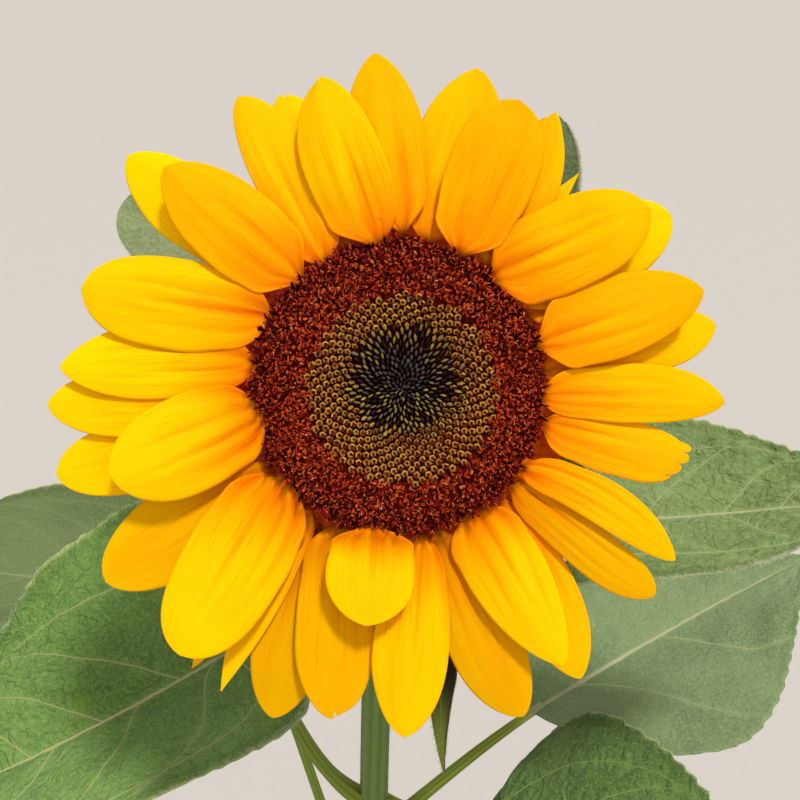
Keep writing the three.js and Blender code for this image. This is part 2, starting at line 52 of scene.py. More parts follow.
# name, base angle, base radius, tip angle, tip radius, width, layer, rise at the tip,
# place of the greatest width, base width share, base growth, tip form p, tip form q, sideways bow, lopsidedness
RAYS = [
    ("ray_01", 78.5, 40.3, 75.2, 87.3, 21.9, 1, 1.5, 0.55, 0.35, 0.85, 2.2, 0.66, 0, 0),
    ("ray_02", 64.7, 39.0, 66.7, 79.4, 23.7, 5, 9, 0.52, 0.36, 0.7, 2.8, 0.54, 0, 0),
    ("ray_03", 54.2, 41.2, 60.6, 82.2, 18.6, 2, 3, 0.5, 0.4, 0.8, 2.4, 0.64, 0, -0.08),
    ("ray_04", 53.9, 40.7, 49.6, 75.6, 7.0, 0, 0, 0.5, 0.6, 0.8, 1.4, 1.0, -0.03, 0),
    ("ray_05", 48.3, 38.8, 35.1, 79.6, 24.0, 4, 8, 0.44, 0.45, 0.65, 2.6, 0.56, 0, 0),
    ("ray_06", 40.6, 39.3, 32.0, 85.8, 22.4, 1, 1.5, 0.52, 0.4, 0.8, 2.6, 0.55, 0, 0),
    ("ray_07", 29.8, 40.9, 26.3, 76.2, 13.5, -1, -1.5, 0.5, 0.55, 0.8, 2.2, 0.65, 0, 0),
    ("ray_08", 16.1, 39.5, 17.4, 83.1, 21.8, 3, 6.5, 0.42, 0.4, 0.7, 2.3, 0.64, 0, 0.08),
    ("ray_09", 5.8, 40.1, 11.0, 87.3, 16.6, 0, 0, 0.58, 0.4, 0.8, 2.4, 0.62, 0, 0),
    ("ray_10", 355.7, 39.2, 357.2, 86.3, 15.9, 2, 3.5, 0.5, 0.45, 0.8, 2.3, 0.62, 0, 0.23),
    ("ray_11", 346.0, 41.0, 346.2, 80.0, 15.5, 1, 2, 0.55, 0.45, 0.8, 2.9, 0.5, 0, -0.2),
    ("ray_12", 327.6, 40.3, 328.1, 87.8, 12.3, 0, 1, 0.5, 0.5, 0.8, 2.2, 0.68, 0.067, 0),
    ("ray_13", 319.8, 41.5, 321.1, 90.0, 13.0, -1, -1.5, 0.6, 0.5, 0.8, 2.6, 0.58, -0.02, 0),
    ("ray_14", 312.4, 42.7, 302.2, 94.3, 17.9, -2, -3, 0.55, 0.4, 0.9, 2.2, 0.7, 0, 0.06),
    ("ray_15", 301.6, 39.6, 300.9, 85.5, 21.3, 0, 5, 0.36, 0.6, 0.7, 2.0, 0.72, 0, -0.06),
    ("ray_16", 285.8, 40.8, 291.0, 96.0, 19.7, -1, -1.5, 0.55, 0.35, 0.9, 2.4, 0.62, 0, -0.14),
    ("ray_17", 279.2, 40.6, 271.3, 93.1, 20.5, 1, 1.8, 0.55, 0.35, 0.95, 2.3, 0.62, 0, -0.03),
    ("ray_18", 260.6, 37.4, 262.9, 62.3, 23.7, 4, 18, 0.5, 0.6, 0.7, 2.2, 0.58, 0, 0),
    ("ray_19", 246.5, 41.2, 259.4, 90.0, 21.2, 0, 0, 0.58, 0.42, 0.8, 2.4, 0.56, 0, -0.04),
    ("ray_20", 241.4, 44.8, 249.4, 97.1, 19.6, -2, -3, 0.6, 0.4, 0.9, 2.2, 0.62, 0, -0.04),
    ("ray_21", 233.1, 41.0, 239.9, 95.1, 11.9, -1, -1.5, 0.4, 0.6, 0.7, 1.6, 0.9, -0.015, 0),
    ("ray_22", 227.1, 42.0, 233.9, 96.3, 13.7, -3, -4, 0.45, 0.5, 0.7, 1.6, 0.9, 0, 0),
    ("ray_23", 218.9, 39.3, 230.9, 90.1, 27.4, 2, 5, 0.44, 0.4, 0.7, 2.9, 0.52, 0, 0.02),
    ("ray_24", 211.8, 40.9, 213.4, 94.3, 23.9, 0, -0.5, 0.52, 0.4, 0.75, 2.4, 0.58, 0, 0.04),
    ("ray_25", 190.5, 36.7, 197.8, 77.5, 25.7, 3, 9, 0.45, 0.35, 0.65, 2.7, 0.55, 0, 0),
    ("ray_26", 198.0, 43.8, 194.4, 95.0, 19.4, -1, -1.5, 0.55, 0.4, 0.8, 2.6, 0.55, 0, -0.06),
    ("ray_27", 184.8, 41.7, 183.0, 93.5, 19.0, 0, 0.5, 0.52, 0.4, 0.8, 2.4, 0.6, 0, 0),
    ("ray_28", 171.3, 38.9, 176.8, 89.3, 20.2, 1, 2.5, 0.5, 0.35, 0.8, 2.2, 0.68, 0, -0.1),
    ("ray_29", 151.1, 38.9, 162.7, 86.5, 24.6, 2, 4, 0.5, 0.3, 0.7, 2.7, 0.55, 0, 0.04),
    ("ray_30", 132.9, 42.3, 139.5, 95.3, 20.6, 0, 0, 0.52, 0.4, 0.8, 2.4, 0.6, 0, 0.14),
    ("ray_31", 132.2, 38.6, 136.8, 82.8, 23.3, 3, 8, 0.42, 0.35, 0.7, 2.4, 0.62, 0, 0.04),
    ("ray_32", 121.0, 39.2, 118.7, 87.8, 17.6, 1, 1.5, 0.5, 0.45, 0.7, 2.3, 0.6, 0, -0.22),
    ("ray_33", 110.1, 40.9, 111.2, 85.2, 15.7, -1, -1.5, 0.5, 0.5, 0.7, 2.8, 0.5, 0, 0),
    ("ray_34", 96.7, 38.6, 104.1, 82.7, 22.0, 4, 6, 0.45, 0.5, 0.7, 2.3, 0.6, 0, 0.16),
    ("ray_35", 87.8, 41.6, 93.8, 86.8, 20.5, 3, 4.5, 0.5, 0.3, 0.7, 2.2, 0.68, 0, 0.05),
]
# Strong creases of some rays: (place across from -1 right to 1 left, depth). The others get theirs from the seed.
CREASES = {
    "ray_02": [(-0.35, 0.5), (0.3, 0.5), (0.62, 0.3)],
    "ray_05": [(0.1, 0.9), (0.42, 0.6), (-0.3, 0.6), (-0.6, 0.35)],
    "ray_06": [(0.0, 0.5), (-0.5, 0.4)],
    "ray_08": [(0.12, 0.8), (-0.35, 0.5), (0.5, 0.35)],
    "ray_10": [(0.15, 0.6), (0.55, 0.4), (-0.5, 0.3)],
    "ray_11": [(0.15, 0.9), (-0.55, 0.5)],
    "ray_12": [(0.35, 0.5), (-0.3, 0.4)],
    "ray_13": [(0.3, 0.9), (-0.3, 0.3)],
    "ray_15": [(0.1, 0.5), (0.55, 0.7), (-0.4, 0.4)],
    "ray_17": [(0.05, 0.5), (-0.45, 0.4)],
    "ray_18": [(0.0, 0.45), (0.4, 0.3), (-0.4, 0.3)],
    "ray_19": [(0.05, 0.6), (0.5, 0.4), (-0.5, 0.4)],
    "ray_20": [(0.05, 0.4), (-0.4, 0.5)],
    "ray_23": [(0.3, 0.9), (-0.1, 0.6), (-0.5, 0.4), (0.6, 0.4)],
    "ray_25": [(0.15, 1.0), (-0.3, 0.8), (0.5, 0.5)],
    "ray_28": [(0.1, 0.6), (-0.45, 0.5)],
    "ray_29": [(0.0, 0.7), (-0.35, 0.8), (0.4, 0.5)],
    "ray_31": [(-0.25, 0.6), (0.3, 0.6), (0.65, 0.3)],
    "ray_34": [(-0.05, 0.8), (0.4, 0.5), (-0.45, 0.5)],
    "ray_35": [(0.45, 0.9), (-0.2, 0.5)],
}
# Rays with a toothed end: width share of the end, number of teeth, depth.
ENDS = {"ray_11": (0.62, 3, 2.2), "ray_19": (0.10, 2, 1.5), "ray_33": (0.16, 2, 0.9), "ray_03": (0.14, 2, 0.5), "ray_01": (0.10, 2, 0.7), "ray_24": (0.05, 2, 0.3)}

# How far a side of some rays hangs down (mm, plus left, minus right), and how much more lemon or orange some are; the
# shift to orange is partly painted shade on rays that lie in the shade of others.
HANGS = {"ray_34": 2.2}
RAY_LEMON_AND_SHADE = {"ray_05": 0.4, "ray_06": 0.8, "ray_09": 0.1, "ray_11": -0.35, "ray_13": -0.45, "ray_15": 0.3, "ray_16": -0.45, "ray_19": -0.35, "ray_20": -0.5,
         "ray_24": -0.5, "ray_28": 0.1, "ray_29": -0.25, "ray_30": 0.2, "ray_31": -0.3, "ray_32": -0.3, "ray_34": 0.45}

# Length of the rounded part of some roots, as a share of the ray, and how much darker some low rays are painted:
# painted shade for rays that lie in the shade of the rays above them.
ROUNDED = {"ray_02": 0.13, "ray_05": 0.12, "ray_08": 0.14, "ray_18": 0.17, "ray_31": 0.14, "ray_34": 0.20, "ray_35": 0.15}
RAY_SHADE_DIM = {"ray_13": 0.88, "ray_16": 0.88, "ray_19": 0.90, "ray_20": 0.87, "ray_24": 0.89}

LEAF_FORM = dict(bulge=8, side=0, roll=0, m=0.34, p=1.7, q=1.0, b0=0.6, lobe=0.12, fl=14, fr=14, curl=0.1, stalk=3.6, lift=0.6, spring=0.42, hold=0.3, neck=None)
NEAR_LEAVES = [
    dict(name="leaf_left_front", start=820, joint=(-46.3, -3.0, 918.2), tip=(-173.5, -47.5, 874.2), wl=61.4, wr=81.4, bulge=4.6, side=9.7, roll=-12.4, m=0.25, p=1.35, b0=0.65, lobe=0.25, lobe_right=0.175, fl=26, fr=25.5, lift=0.5, hold=0.17, stalk=3.4),
    dict(name="leaf_left_back", start=728, joint=(-52.6, 50.0, 885.2), tip=(-236.0, 66.0, 904.7), wl=40, wr=71, bulge=-5.7, side=-12, roll=-2.3, m=0.33, p=2.0, b0=0.77, lobe=0.21, fl=-10, fr=17.9, spring=0.2, hold=0.08, stalk=2.8),
    dict(name="leaf_right_top", start=930, joint=(84.4, -24.5, 996.9), tip=(182.3, -29.7, 1011.9), wl=39.6, wr=30, bulge=-3.1, side=1.8, roll=20.3, m=0.2, p=1.8, b0=0.59, lobe=0.25, fl=19.6, fr=19.1, stalk=2.8),
    dict(name="leaf_right_back", start=797, joint=(79.6, 23.7, 850.5), tip=(220.0, 82.5, 894.4), wl=62, wr=73.5, bulge=-5, side=6.3, roll=-5.4, m=0.41, p=1.8, q=1.1, b0=0.66, lobe=0.02, fl=10, fr=8.5, stalk=3.2),
    dict(name="leaf_right_front", start=822, joint=(50.8, -23.7, 828.4), tip=(155.7, -85.6, 859.4), wl=63, wr=52, bulge=8.6, roll=10.2, m=0.31, p=1.8, b0=0.69, lobe=0, fl=13.2, fr=10, lift=0.3),
]
# name, height, azimuth, petiole length, petiole rise, blade length, blade drop, half width
SPIRAL_LEAVES = [
    ("leaf_01", 95, 70, 95, 30, 120, 34, 45), ("leaf_02", 165, 205, 110, 34, 150, 30, 58), ("leaf_03", 235, 330, 125, 38, 175, 26, 70),
    ("leaf_04", 305, 100, 130, 40, 190, 24, 78), ("leaf_05", 380, 235, 130, 42, 200, 22, 82), ("leaf_06", 450, 0, 130, 42, 205, 20, 84),
    ("leaf_07", 520, 150, 125, 44, 200, 18, 82), ("leaf_08", 585, 258, 120, 44, 195, 18, 78), ("leaf_09", 645, 352, 115, 45, 185, 16, 74),
    ("leaf_10", 700, 222, 110, 45, 175, 16, 70), ("leaf_11", 750, 290, 105, 45, 165, 14, 64), ("leaf_12", 893, 118, 90, 46, 145, 8, 50),
    ("leaf_13", 945, 62, 80, 44, 120, 6, 42),
]
BRACT_LEAVES = [
    dict(name="bract_leaf_left", neck=0.45, joint=(-13.3, -5.3, 1070.3), tip=(-68.6, -1.0, 1098.5), wl=15, wr=14, bulge=2, roll=-60, m=0.5, p=3, q=0.5, lobe=0, fl=6, fr=6, curl=0.05, stalk=1.7),
    dict(name="bract_leaf_right", neck=0.4, joint=(58.0, -2.5, 1078.5), tip=(68.8, 16.9, 1123.1), wl=12, wr=13.2, bulge=2, roll=40, m=0.25, p=3.35, q=0.73, lobe=0, fl=6, fr=6, curl=0.05, stalk=1.5),
    dict(name="bract_leaf_low", neck=0.62, joint=(35.0, -60.0, 994.0), tip=(32.9, -81.4, 938.3), wl=4.7, wr=4.7, bulge=2, side=-2, m=0.43, p=1.05, q=1.0, lobe=0, fl=16, fr=16, curl=0, stalk=1.9, spring=0.02),
]


# ------------------------------------------------------------------ helpers
def unit(v):
    v = np.asarray(v, float)
    return v / np.maximum(np.linalg.norm(v, axis=-1, keepdims=True), 1e-12)


def smooth(a, b, x):
    f = np.clip((x - a) / (b - a), 0, 1)
    return f * f * (3 - 2 * f)


def linear(r, g, b):
    """A colour as seen on a screen, 0 to 255, as Blender's linear colour."""
    return tuple(((c / 255) / 12.92 if c / 255 <= 0.04045 else ((c / 255 + 0.055) / 1.055) ** 2.4) for c in (r, g, b)) + (1.0,)


def waves(rng, x, y, scale, count=7):
    """Smooth seeded unevenness between about -1 and 1."""
    out = 0
    for i in range(count):
        a, f = rng.uniform(0, 2 * PI), scale * rng.uniform(0.5, 1.6)
        out = out + np.sin(f * (np.cos(a) * x + np.sin(a) * y) + rng.uniform(0, 2 * PI))
    return out / math.sqrt(count * 1.6)


def in_head(p):
    """Head coordinates (across, up, out) to the plant's, for an array of points."""
    p = np.asarray(p, float)
    return HEAD + p[..., 0:1] * HU + p[..., 1:2] * HV + p[..., 2:3] * HN


def make(name, verts, faces, mats, slots=None, uv=None, values=None, smooth_faces=True, slot=None, thick=0, nodes=(), keep_flat=False):
    """One mesh object from arrays. faces is a list of index arrays, with 3 or 4 columns each."""
    me = bpy.data.meshes.new(name)
    verts = np.asarray(verts, float).reshape(-1, 3)
    faces = [np.asarray(f, np.int32) for f in faces if len(f)]
    loops = np.concatenate([f.ravel() for f in faces])
    sizes = np.concatenate([np.full(len(f), f.shape[1]) for f in faces])
    me.vertices.add(len(verts))
    me.vertices.foreach_set("co", (verts * MM).astype(np.float32).ravel())
    me.loops.add(len(loops))
    me.loops.foreach_set("vertex_index", loops)
    me.polygons.add(len(sizes))
    me.polygons.foreach_set("loop_start", np.concatenate([[0], np.cumsum(sizes)[:-1]]).astype(np.int32))
    if slots is not None:
        me.polygons.foreach_set("material_index", np.concatenate([np.asarray(s) for s in slots]).astype(np.int32))
    me.polygons.foreach_set("use_smooth", np.full(len(sizes), smooth_faces))
    if uv is not None:
        layer = me.uv_layers.new(name="UVMap")
        layer.data.foreach_set("uv", np.asarray(uv, np.float32)[loops].ravel())
    for key, val in (values or {}).items():
        me.attributes.new(key, "FLOAT", "POINT").data.foreach_set("value", np.asarray(val, np.float32).ravel())
    me.update(calc_edges=True)
    me.validate()
    for m in mats:
        me.materials.append(m)
    ob = bpy.data.objects.new(name, me)
    bpy.context.scene.collection.objects.link(ob)
    if thick:
        mod = ob.modifiers.new("Thickness", "SOLIDIFY")
        mod.thickness = thick * MM
        mod.offset = -1
        mod.use_even_offset = False
    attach(ob, "root")
    if nodes:
        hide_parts(*nodes)
    return ob


def grid_faces(nu, nv, closed=False, base=0):
    """Quads of a grid of nu by nv points, row by row."""
    i, j = np.meshgrid(np.arange(nu - 1), np.arange(nv if closed else nv - 1), indexing="ij")
    j2 = (j + 1) % nv
    return base + np.stack([i * nv + j, (i + 1) * nv + j, (i + 1) * nv + j2, i * nv + j2], -1).reshape(-1, 4)


class Bag:
    """Collects many small pieces of one kind into one mesh."""

    def __init__(self):
        self.v, self.q, self.t, self.qs, self.ts, self.n = [], [], [], [], [], 0

    def add(self, verts, quads=None, tris=None, quad_slots=None, tri_slots=None):
        verts = np.asarray(verts, float).reshape(-1, 3)
        self.v.append(verts)
        for faces, slots, fl, sl in ((quads, quad_slots, self.q, self.qs), (tris, tri_slots, self.t, self.ts)):
            if faces is not None and len(faces):
                fl.append(np.asarray(faces) + self.n)
                sl.append(np.broadcast_to(0 if slots is None else slots, (len(faces),)))
        self.n += len(verts)

    def make(self, name, mats, **kw):
        f = [np.concatenate(x) for x in (self.q, self.t) if x]
        s = [np.concatenate(x) for x in (self.qs, self.ts) if x]
        return make(name, np.concatenate(self.v), f, mats, slots=s, **kw)


def copies(shape_v, place, axes):
    """shape_v (k,3) put at each place (n,3) in the axes (n,3,3), whose rows are the local x, y and z."""
    return place[:, None, :] + np.einsum("nkc,ncd->nkd", np.broadcast_to(shape_v, (len(place),) + shape_v.shape[-2:]), axes)


# ------------------------------------------------------------------ materials
def new_material(name, rough=0.6, spec=0.3, sss=0.0, sss_radius=(1.0, 0.4, 0.1), sss_scale=0.0015, sheen=0.0):
    m = bpy.data.materials.new(name)
    m.use_nodes = True
    nt = m.node_tree
    b = nt.nodes["Principled BSDF"]
    b.inputs["Roughness"].default_value = rough
    b.inputs["Specular IOR Level"].default_value = spec
    if sss:
        b.inputs["Subsurface Weight"].default_value = sss
        b.inputs["Subsurface Radius"].default_value = sss_radius
        b.inputs["Subsurface Scale"].default_value = sss_scale
    if sheen:
        b.inputs["Sheen Weight"].default_value = sheen
        b.inputs["Sheen Roughness"].default_value = 0.5
    return m, nt, b


def plain(name, rgb, rough=0.6, spec=0.3, **kw):
    m, nt, b = new_material(name, rough, spec, **kw)
    b.inputs["Base Color"].default_value = linear(*rgb)
    return m


class Net:
    """Short ways to write a node tree."""

    def __init__(self, nt):
        self.nt = nt

    def node(self, kind, **kw):
        n = self.nt.nodes.new(kind)
        for k, v in kw.items():
            setattr(n, k, v)
        return n

    def link(self, a, b):
        self.nt.links.new(a, b)

    def put(self, socket, value):
        if hasattr(value, "is_output"):
            self.link(value, socket)
        else:
            socket.default_value = value

    def math(self, op, a, b=0.0, c=None, clamp=False):
        n = self.node("ShaderNodeMath", operation=op, use_clamp=clamp)
        self.put(n.inputs[0], a)
        self.put(n.inputs[1], b)
        if c is not None:
            self.put(n.inputs[2], c)
        return n.outputs[0]

    def value(self, name):
        return self.node("ShaderNodeAttribute", attribute_name=name).outputs["Fac"]

    def uv(self):
        return self.node("ShaderNodeTexCoord").outputs["UV"]

    def place(self):
        return self.node("ShaderNodeTexCoord").outputs["Object"]

    def scaled(self, vector, scale):
        n = self.node("ShaderNodeMapping")
        self.link(vector, n.inputs["Vector"])
        n.inputs["Scale"].default_value = scale
        return n.outputs[0]

    def noise(self, vector, scale=5.0, detail=3.0, rough=0.5, distortion=0.0):
        n = self.node("ShaderNodeTexNoise")
        self.link(vector, n.inputs["Vector"])
        n.inputs["Scale"].default_value = scale
        n.inputs["Detail"].default_value = detail
        n.inputs["Roughness"].default_value = rough
        n.inputs["Distortion"].default_value = distortion
        return n.outputs["Fac"]

    def edges(self, vector, scale, randomness=1.0):
        n = self.node("ShaderNodeTexVoronoi", feature="DISTANCE_TO_EDGE")
        self.link(vector, n.inputs["Vector"])
        n.inputs["Scale"].default_value = scale
        n.inputs["Randomness"].default_value = randomness
        return n.outputs["Distance"]

    def spread(self, x, lo, hi, to_lo=0.0, to_hi=1.0, smooth_step=True):
        n = self.node("ShaderNodeMapRange", interpolation_type="SMOOTHSTEP" if smooth_step else "LINEAR")
        self.put(n.inputs["Value"], x)
        for k, v in (("From Min", lo), ("From Max", hi), ("To Min", to_lo), ("To Max", to_hi)):
            n.inputs[k].default_value = v
        return n.outputs["Result"]

    def ramp(self, x, stops):
        n = self.node("ShaderNodeValToRGB")
        self.put(n.inputs["Fac"], x)
        e = n.color_ramp.elements
        while len(e) < len(stops):
            e.new(0.5)
        for el, (pos, col) in zip(e, stops):
            el.position, el.color = pos, col
        return n.outputs["Color"]

    def mix(self, fac, a, b, blend="MIX"):
        n = self.node("ShaderNodeMix", data_type="RGBA", blend_type=blend)
        self.put(n.inputs[0], fac)
        self.put(n.inputs[6], a)
        self.put(n.inputs[7], b)
        return n.outputs[2]

    def bump(self, height, strength=0.3, distance=0.0003, below=None):
        n = self.node("ShaderNodeBump")
        self.put(n.inputs["Height"], height)
        n.inputs["Strength"].default_value = strength
        n.inputs["Distance"].default_value = distance
        if below is not None:
            self.link(below, n.inputs["Normal"])
        return n.outputs["Normal"]


def ray_material(name, lemon, seed, dim=1.0):
    """Yellow ray floret: deep orange at its root, darker orange in its creases (partly their own colour, partly painted
    shade), yellow towards its end, with fine lengthwise veins.
    """
    m, nt, b = new_material(name, rough=0.6, spec=0.02, sss=0.15, sss_radius=(1.0, 0.45, 0.0), sss_scale=0.001)
    n = Net(nt)
    uv = n.uv()
    end = tuple(a + (c - a) * lemon for a, c in zip((1.0, 0.44, 0.0, 1), (1.0, 0.62, 0.0, 1)))
    mid = tuple(a + (c - a) * lemon for a, c in zip((1.0, 0.345, 0.0, 1), (1.0, 0.47, 0.0, 1)))
    streak = n.noise(n.scaled(uv, (1.6, 26.0, 1.0)), scale=1.0 + 0.05 * (seed % 7), detail=3.0)
    tone = n.math("ADD", n.value("tone"), n.math("MULTIPLY_ADD", streak, 0.34, -0.17))
    col = n.ramp(tone, [(0.0, (0.42, 0.05, 0.0, 1)), (0.12, (0.78, 0.15, 0.0, 1)), (0.32, (0.97, 0.28, 0.0, 1)), (0.62, mid), (1.0, end)])
    crease = n.value("crease")
    # The crease value darkens the colour along the folds: partly the folds' own deeper orange, partly painted shade in
    # the creases.
    col = n.mix(n.math("MULTIPLY", crease, 0.85, clamp=True), col, (0.70, 0.155, 0.0, 1))
    veins = n.noise(n.scaled(uv, (1.6, 62.0, 1.0)), scale=1.0, detail=2.0)
    lined = n.value("lined")
    strong = n.math("MULTIPLY", n.spread(n.noise(n.scaled(uv, (1.2, 7.0, 1.0)), scale=1.0, detail=1.0), 0.44, 0.64, 0.05, 0.55), lined)
    col = n.mix(n.math("MULTIPLY", n.spread(veins, 0.54, 0.70), strong), col, (0.88, 0.27, 0.0, 1))
    rooted = n.spread(n.value("tone"), 0.5, 1.05, 0.75, 0.28)
    for wide, fine_ in ((11.0, 0.028), (27.0, 0.045)):
        course = n.noise(n.scaled(uv, (0.8, wide, 1.0)), scale=1.0, detail=1.0)
        line = n.spread(n.math("ABSOLUTE", n.math("SUBTRACT", course, 0.5)), 0.0, fine_, 1.0, 0.0)
        col = n.mix(n.math("MULTIPLY", line, n.math("MULTIPLY", n.math("MULTIPLY", rooted, lined), 0.62 if wide < 20 else 0.4)), col, (0.74, 0.19, 0.0, 1))
    # dim multiplies the whole colour: painted shade on rays that lie under others.
    n.link(n.mix(1.0, col, (dim * dim, dim, dim, 1), blend="MULTIPLY"), b.inputs["Base Color"])
    lines = n.noise(n.scaled(uv, (1.2, 95.0, 1.0)), scale=1.0, detail=2.0)
    n.link(n.bump(lines, 0.35, 0.00025), b.inputs["Normal"])
    return m


def leaf_material(name, dark, light, seed, net=1.0, spots=0.5, painted_shade_base=False):
    """Leaf green with pale tissue beside the veins, a net of small veins, uneven tissue between them, a pale rim, and a
    band of painted shade just inside the margin.
    """
    m, nt, b = new_material(name, rough=0.62, spec=0.16, sss=0.06, sss_radius=(0.5, 1.0, 0.1), sss_scale=0.001, sheen=0.05)
    n = Net(nt)
    p = n.place()
    big = n.noise(p, scale=14.0 + seed % 5, detail=3.0)
    small = n.noise(p, scale=760.0, detail=4.0, rough=0.65)
    col = n.mix(n.spread(big, 0.34, 0.66), dark, light)
    col = n.mix(n.spread(small, 0.38, 0.68, 0.0, 0.5), col, tuple(c * 1.4 for c in light[:3]) + (1,))
    blotch = n.spread(n.noise(p, scale=24.0, detail=2.0, distortion=0.6), 0.68, 0.76, 0.0, spots)
    col = n.mix(blotch, col, linear(116, 146, 36))
    cells = n.edges(p, 130.0)
    fine = n.edges(p, 520.0)
    col = n.mix(n.spread(cells, 0.0, 0.045, 0.34 * net, 0.0), col, tuple(c * 0.42 for c in dark[:3]) + (1,))
    col = n.mix(n.spread(fine, 0.0, 0.10, 0.20 * net, 0.0), col, tuple(c * 1.6 for c in light[:3]) + (1,))
    vein = n.value("vein")
    col = n.mix(n.math("MULTIPLY", vein, 0.42, clamp=True), col, tuple(c * 1.45 for c in light[:3]) + (1,))
    edge = n.value("edge")
    # A negative edge value darkens the colour: painted shade in a band just inside the margin, under its roll and
    # hairs.
    col = n.mix(n.math("MULTIPLY", edge, -1.0, clamp=True), col, tuple(c * 0.45 for c in dark[:3]) + (1,))
    col = n.mix(n.math("MULTIPLY", edge, 0.8, clamp=True), col, linear(182, 192, 126))
    if painted_shade_base:
        # Painted shade: towards its joint the bract is painted near black-brown, where it lies in deep shade; the brown
        # along one side is its own colour.
        col = n.mix(n.spread(n.math("ADD", n.value("along"), n.math("MULTIPLY_ADD", big, 0.3, -0.15)), 0.38, 0.92, 1.0, 0.0), col, linear(30, 17, 7))
        col = n.mix(n.spread(n.value("over"), 0.45, 0.95, 0.0, 0.65), col, linear(60, 36, 16))
    n.link(col, b.inputs["Base Color"])
    h = n.math("ADD", n.math("MULTIPLY", n.spread(cells, 0.0, 0.2), min(1.0, 2.2 * net)), n.math("MULTIPLY", n.spread(fine, 0.0, 0.2), 0.4 * min(1.0, 2 * net)))
    h = n.math("ADD", h, n.math("MULTIPLY", small, 1.1))
    wrinkle = n.math("ABSOLUTE", n.math("SUBTRACT", n.noise(p, scale=95.0, detail=3.0, distortion=1.2), 0.5))
    h = n.math("ADD", h, n.math("MULTIPLY", n.spread(wrinkle, 0.0, 0.10), min(1.6, 3.0 * net)))
    n.link(n.bump(h, 0.75, 0.0007), b.inputs["Normal"])
    return m


def stem_material(name, groove, rib, seed=0):
    m, nt, b = new_material(name, rough=0.6, spec=0.16, sss=0.06, sss_radius=(0.4, 1.0, 0.2), sss_scale=0.001, sheen=0.06)
    n = Net(nt)
    uv = n.uv()
    streak = n.noise(n.scaled(uv, (3.0, 42.0, 1.0)), scale=1.0, detail=3.0)
    value = n.value("rib")
    fac = n.math("ADD", value, n.math("MULTIPLY_ADD", streak, 0.6, -0.3), clamp=True)
    # Painted shade: where the rib value is low the colour runs to the darker groove colour, where high to the lighter
    # rib colour, so the grooves are painted darker than the ribs.
    col = n.ramp(fac, [(0.0, groove), (1.0, rib)])
    speck = n.noise(n.place(), scale=900.0, detail=2.0)
    col = n.mix(n.spread(speck, 0.60, 0.76, 0.0, 0.25), col, linear(176, 186, 130))
    col = n.mix(n.math("SUBTRACT", value, 1.0, clamp=True), col, linear(160, 164, 112))
    n.link(col, b.inputs["Base Color"])
    n.link(n.bump(n.math("ADD", streak, n.math("MULTIPLY", speck, 0.5)), 0.4, 0.0004), b.inputs["Normal"])
    return m


# ------------------------------------------------------------------ camera, light and floor
camera_data = bpy.data.cameras.new("camera")
camera_data.sensor_width = 36.0
camera_data.lens = 36.0 * 965.7 / 800.0
camera_data.clip_start = 0.02
camera_data.clip_end = 100.0
camera = bpy.data.objects.new("camera", camera_data)
bpy.context.scene.collection.objects.link(camera)
aim = HEAD + 0.81 * HU - 3.51 * HV
camera.location = Vector(((aim + 261.0 * HN) * MM).tolist())
camera.rotation_euler = (TILT, 0, 0)
bpy.context.scene.camera = camera
bpy.context.scene.view_settings.view_transform = "Standard"
bpy.context.scene.view_settings.look = "None"
bpy.context.scene.view_settings.exposure = 0.0

world = bpy.data.worlds.new("studio")
bpy.context.scene.world = world
world.use_nodes = True
world.node_tree.nodes["Background"].inputs["Color"].default_value = (1.0, 0.985, 0.96, 1)
world.node_tree.nodes["Background"].inputs["Strength"].default_value = 0.55


def light(name, kind, energy, toward, size=None, color=(1, 1, 1), where=None):
    d = bpy.data.lights.new(name, kind)
    d.energy = energy
    d.color = color
    if kind == "SUN":
        d.angle = size
    else:
        d.shape = "DISK"
        d.size = size
    o = bpy.data.objects.new(name, d)
    bpy.context.scene.collection.objects.link(o)
    o.rotation_euler = Vector(toward).to_track_quat("-Z", "Y").to_euler()
    if where:
        o.location = where
    return o


light("key", "SUN", 2.75, (-0.25, 0.29, -0.92), size=math.radians(9), color=(1.0, 0.97, 0.93))
light("front", "AREA", 5.0, (0.05, 0.8, -0.6), size=1.6, where=(-0.1, -1.6, 2.2))

floor_m, floor_nt, floor_b = new_material("floor_paint", rough=0.85, spec=0.1)
fn = Net(floor_nt)
fn.link(fn.mix(fn.noise(fn.place(), scale=40.0, detail=2.0), linear(188, 183, 177), linear(192, 187, 181)), floor_b.inputs["Base Color"])
fm = bpy.data.meshes.new("floor")
fm.from_pydata([(30 * math.cos(a), 30 * math.sin(a), 0) for a in np.linspace(0, 2 * PI, 65)[:-1]], [], [list(range(64))])
fm.materials.append(floor_m)
floor = bpy.data.objects.new("floor", fm)
bpy.context.scene.collection.objects.link(floor)


# ------------------------------------------------------------------ stem
def straight_at(z):
    z = np.asarray(z, float)
    return np.stack([STEM_LEAN * (z / STEM_LEAN_AT) ** 3, -STEM_SWAY * np.sin(PI * z / STEM_STRAIGHT), z], -1)


NECK_FOOT = straight_at(STEM_STRAIGHT)
NECK_END = HEAD + HN * (RECEPTACLE_BACK - GAP)
NECK = [NECK_FOOT, NECK_FOOT + unit(straight_at(STEM_STRAIGHT) - straight_at(STEM_STRAIGHT - 1)) * 32, NECK_END - HN * 30, NECK_END]


def bezier(points, f):
    f = np.asarray(f, float)[..., None]
    a, b, c, d = [np.asarray(p, float) for p in points]
    return a * (1 - f) ** 3 + 3 * b * f * (1 - f) ** 2 + 3 * c * f * f * (1 - f) + d * f ** 3


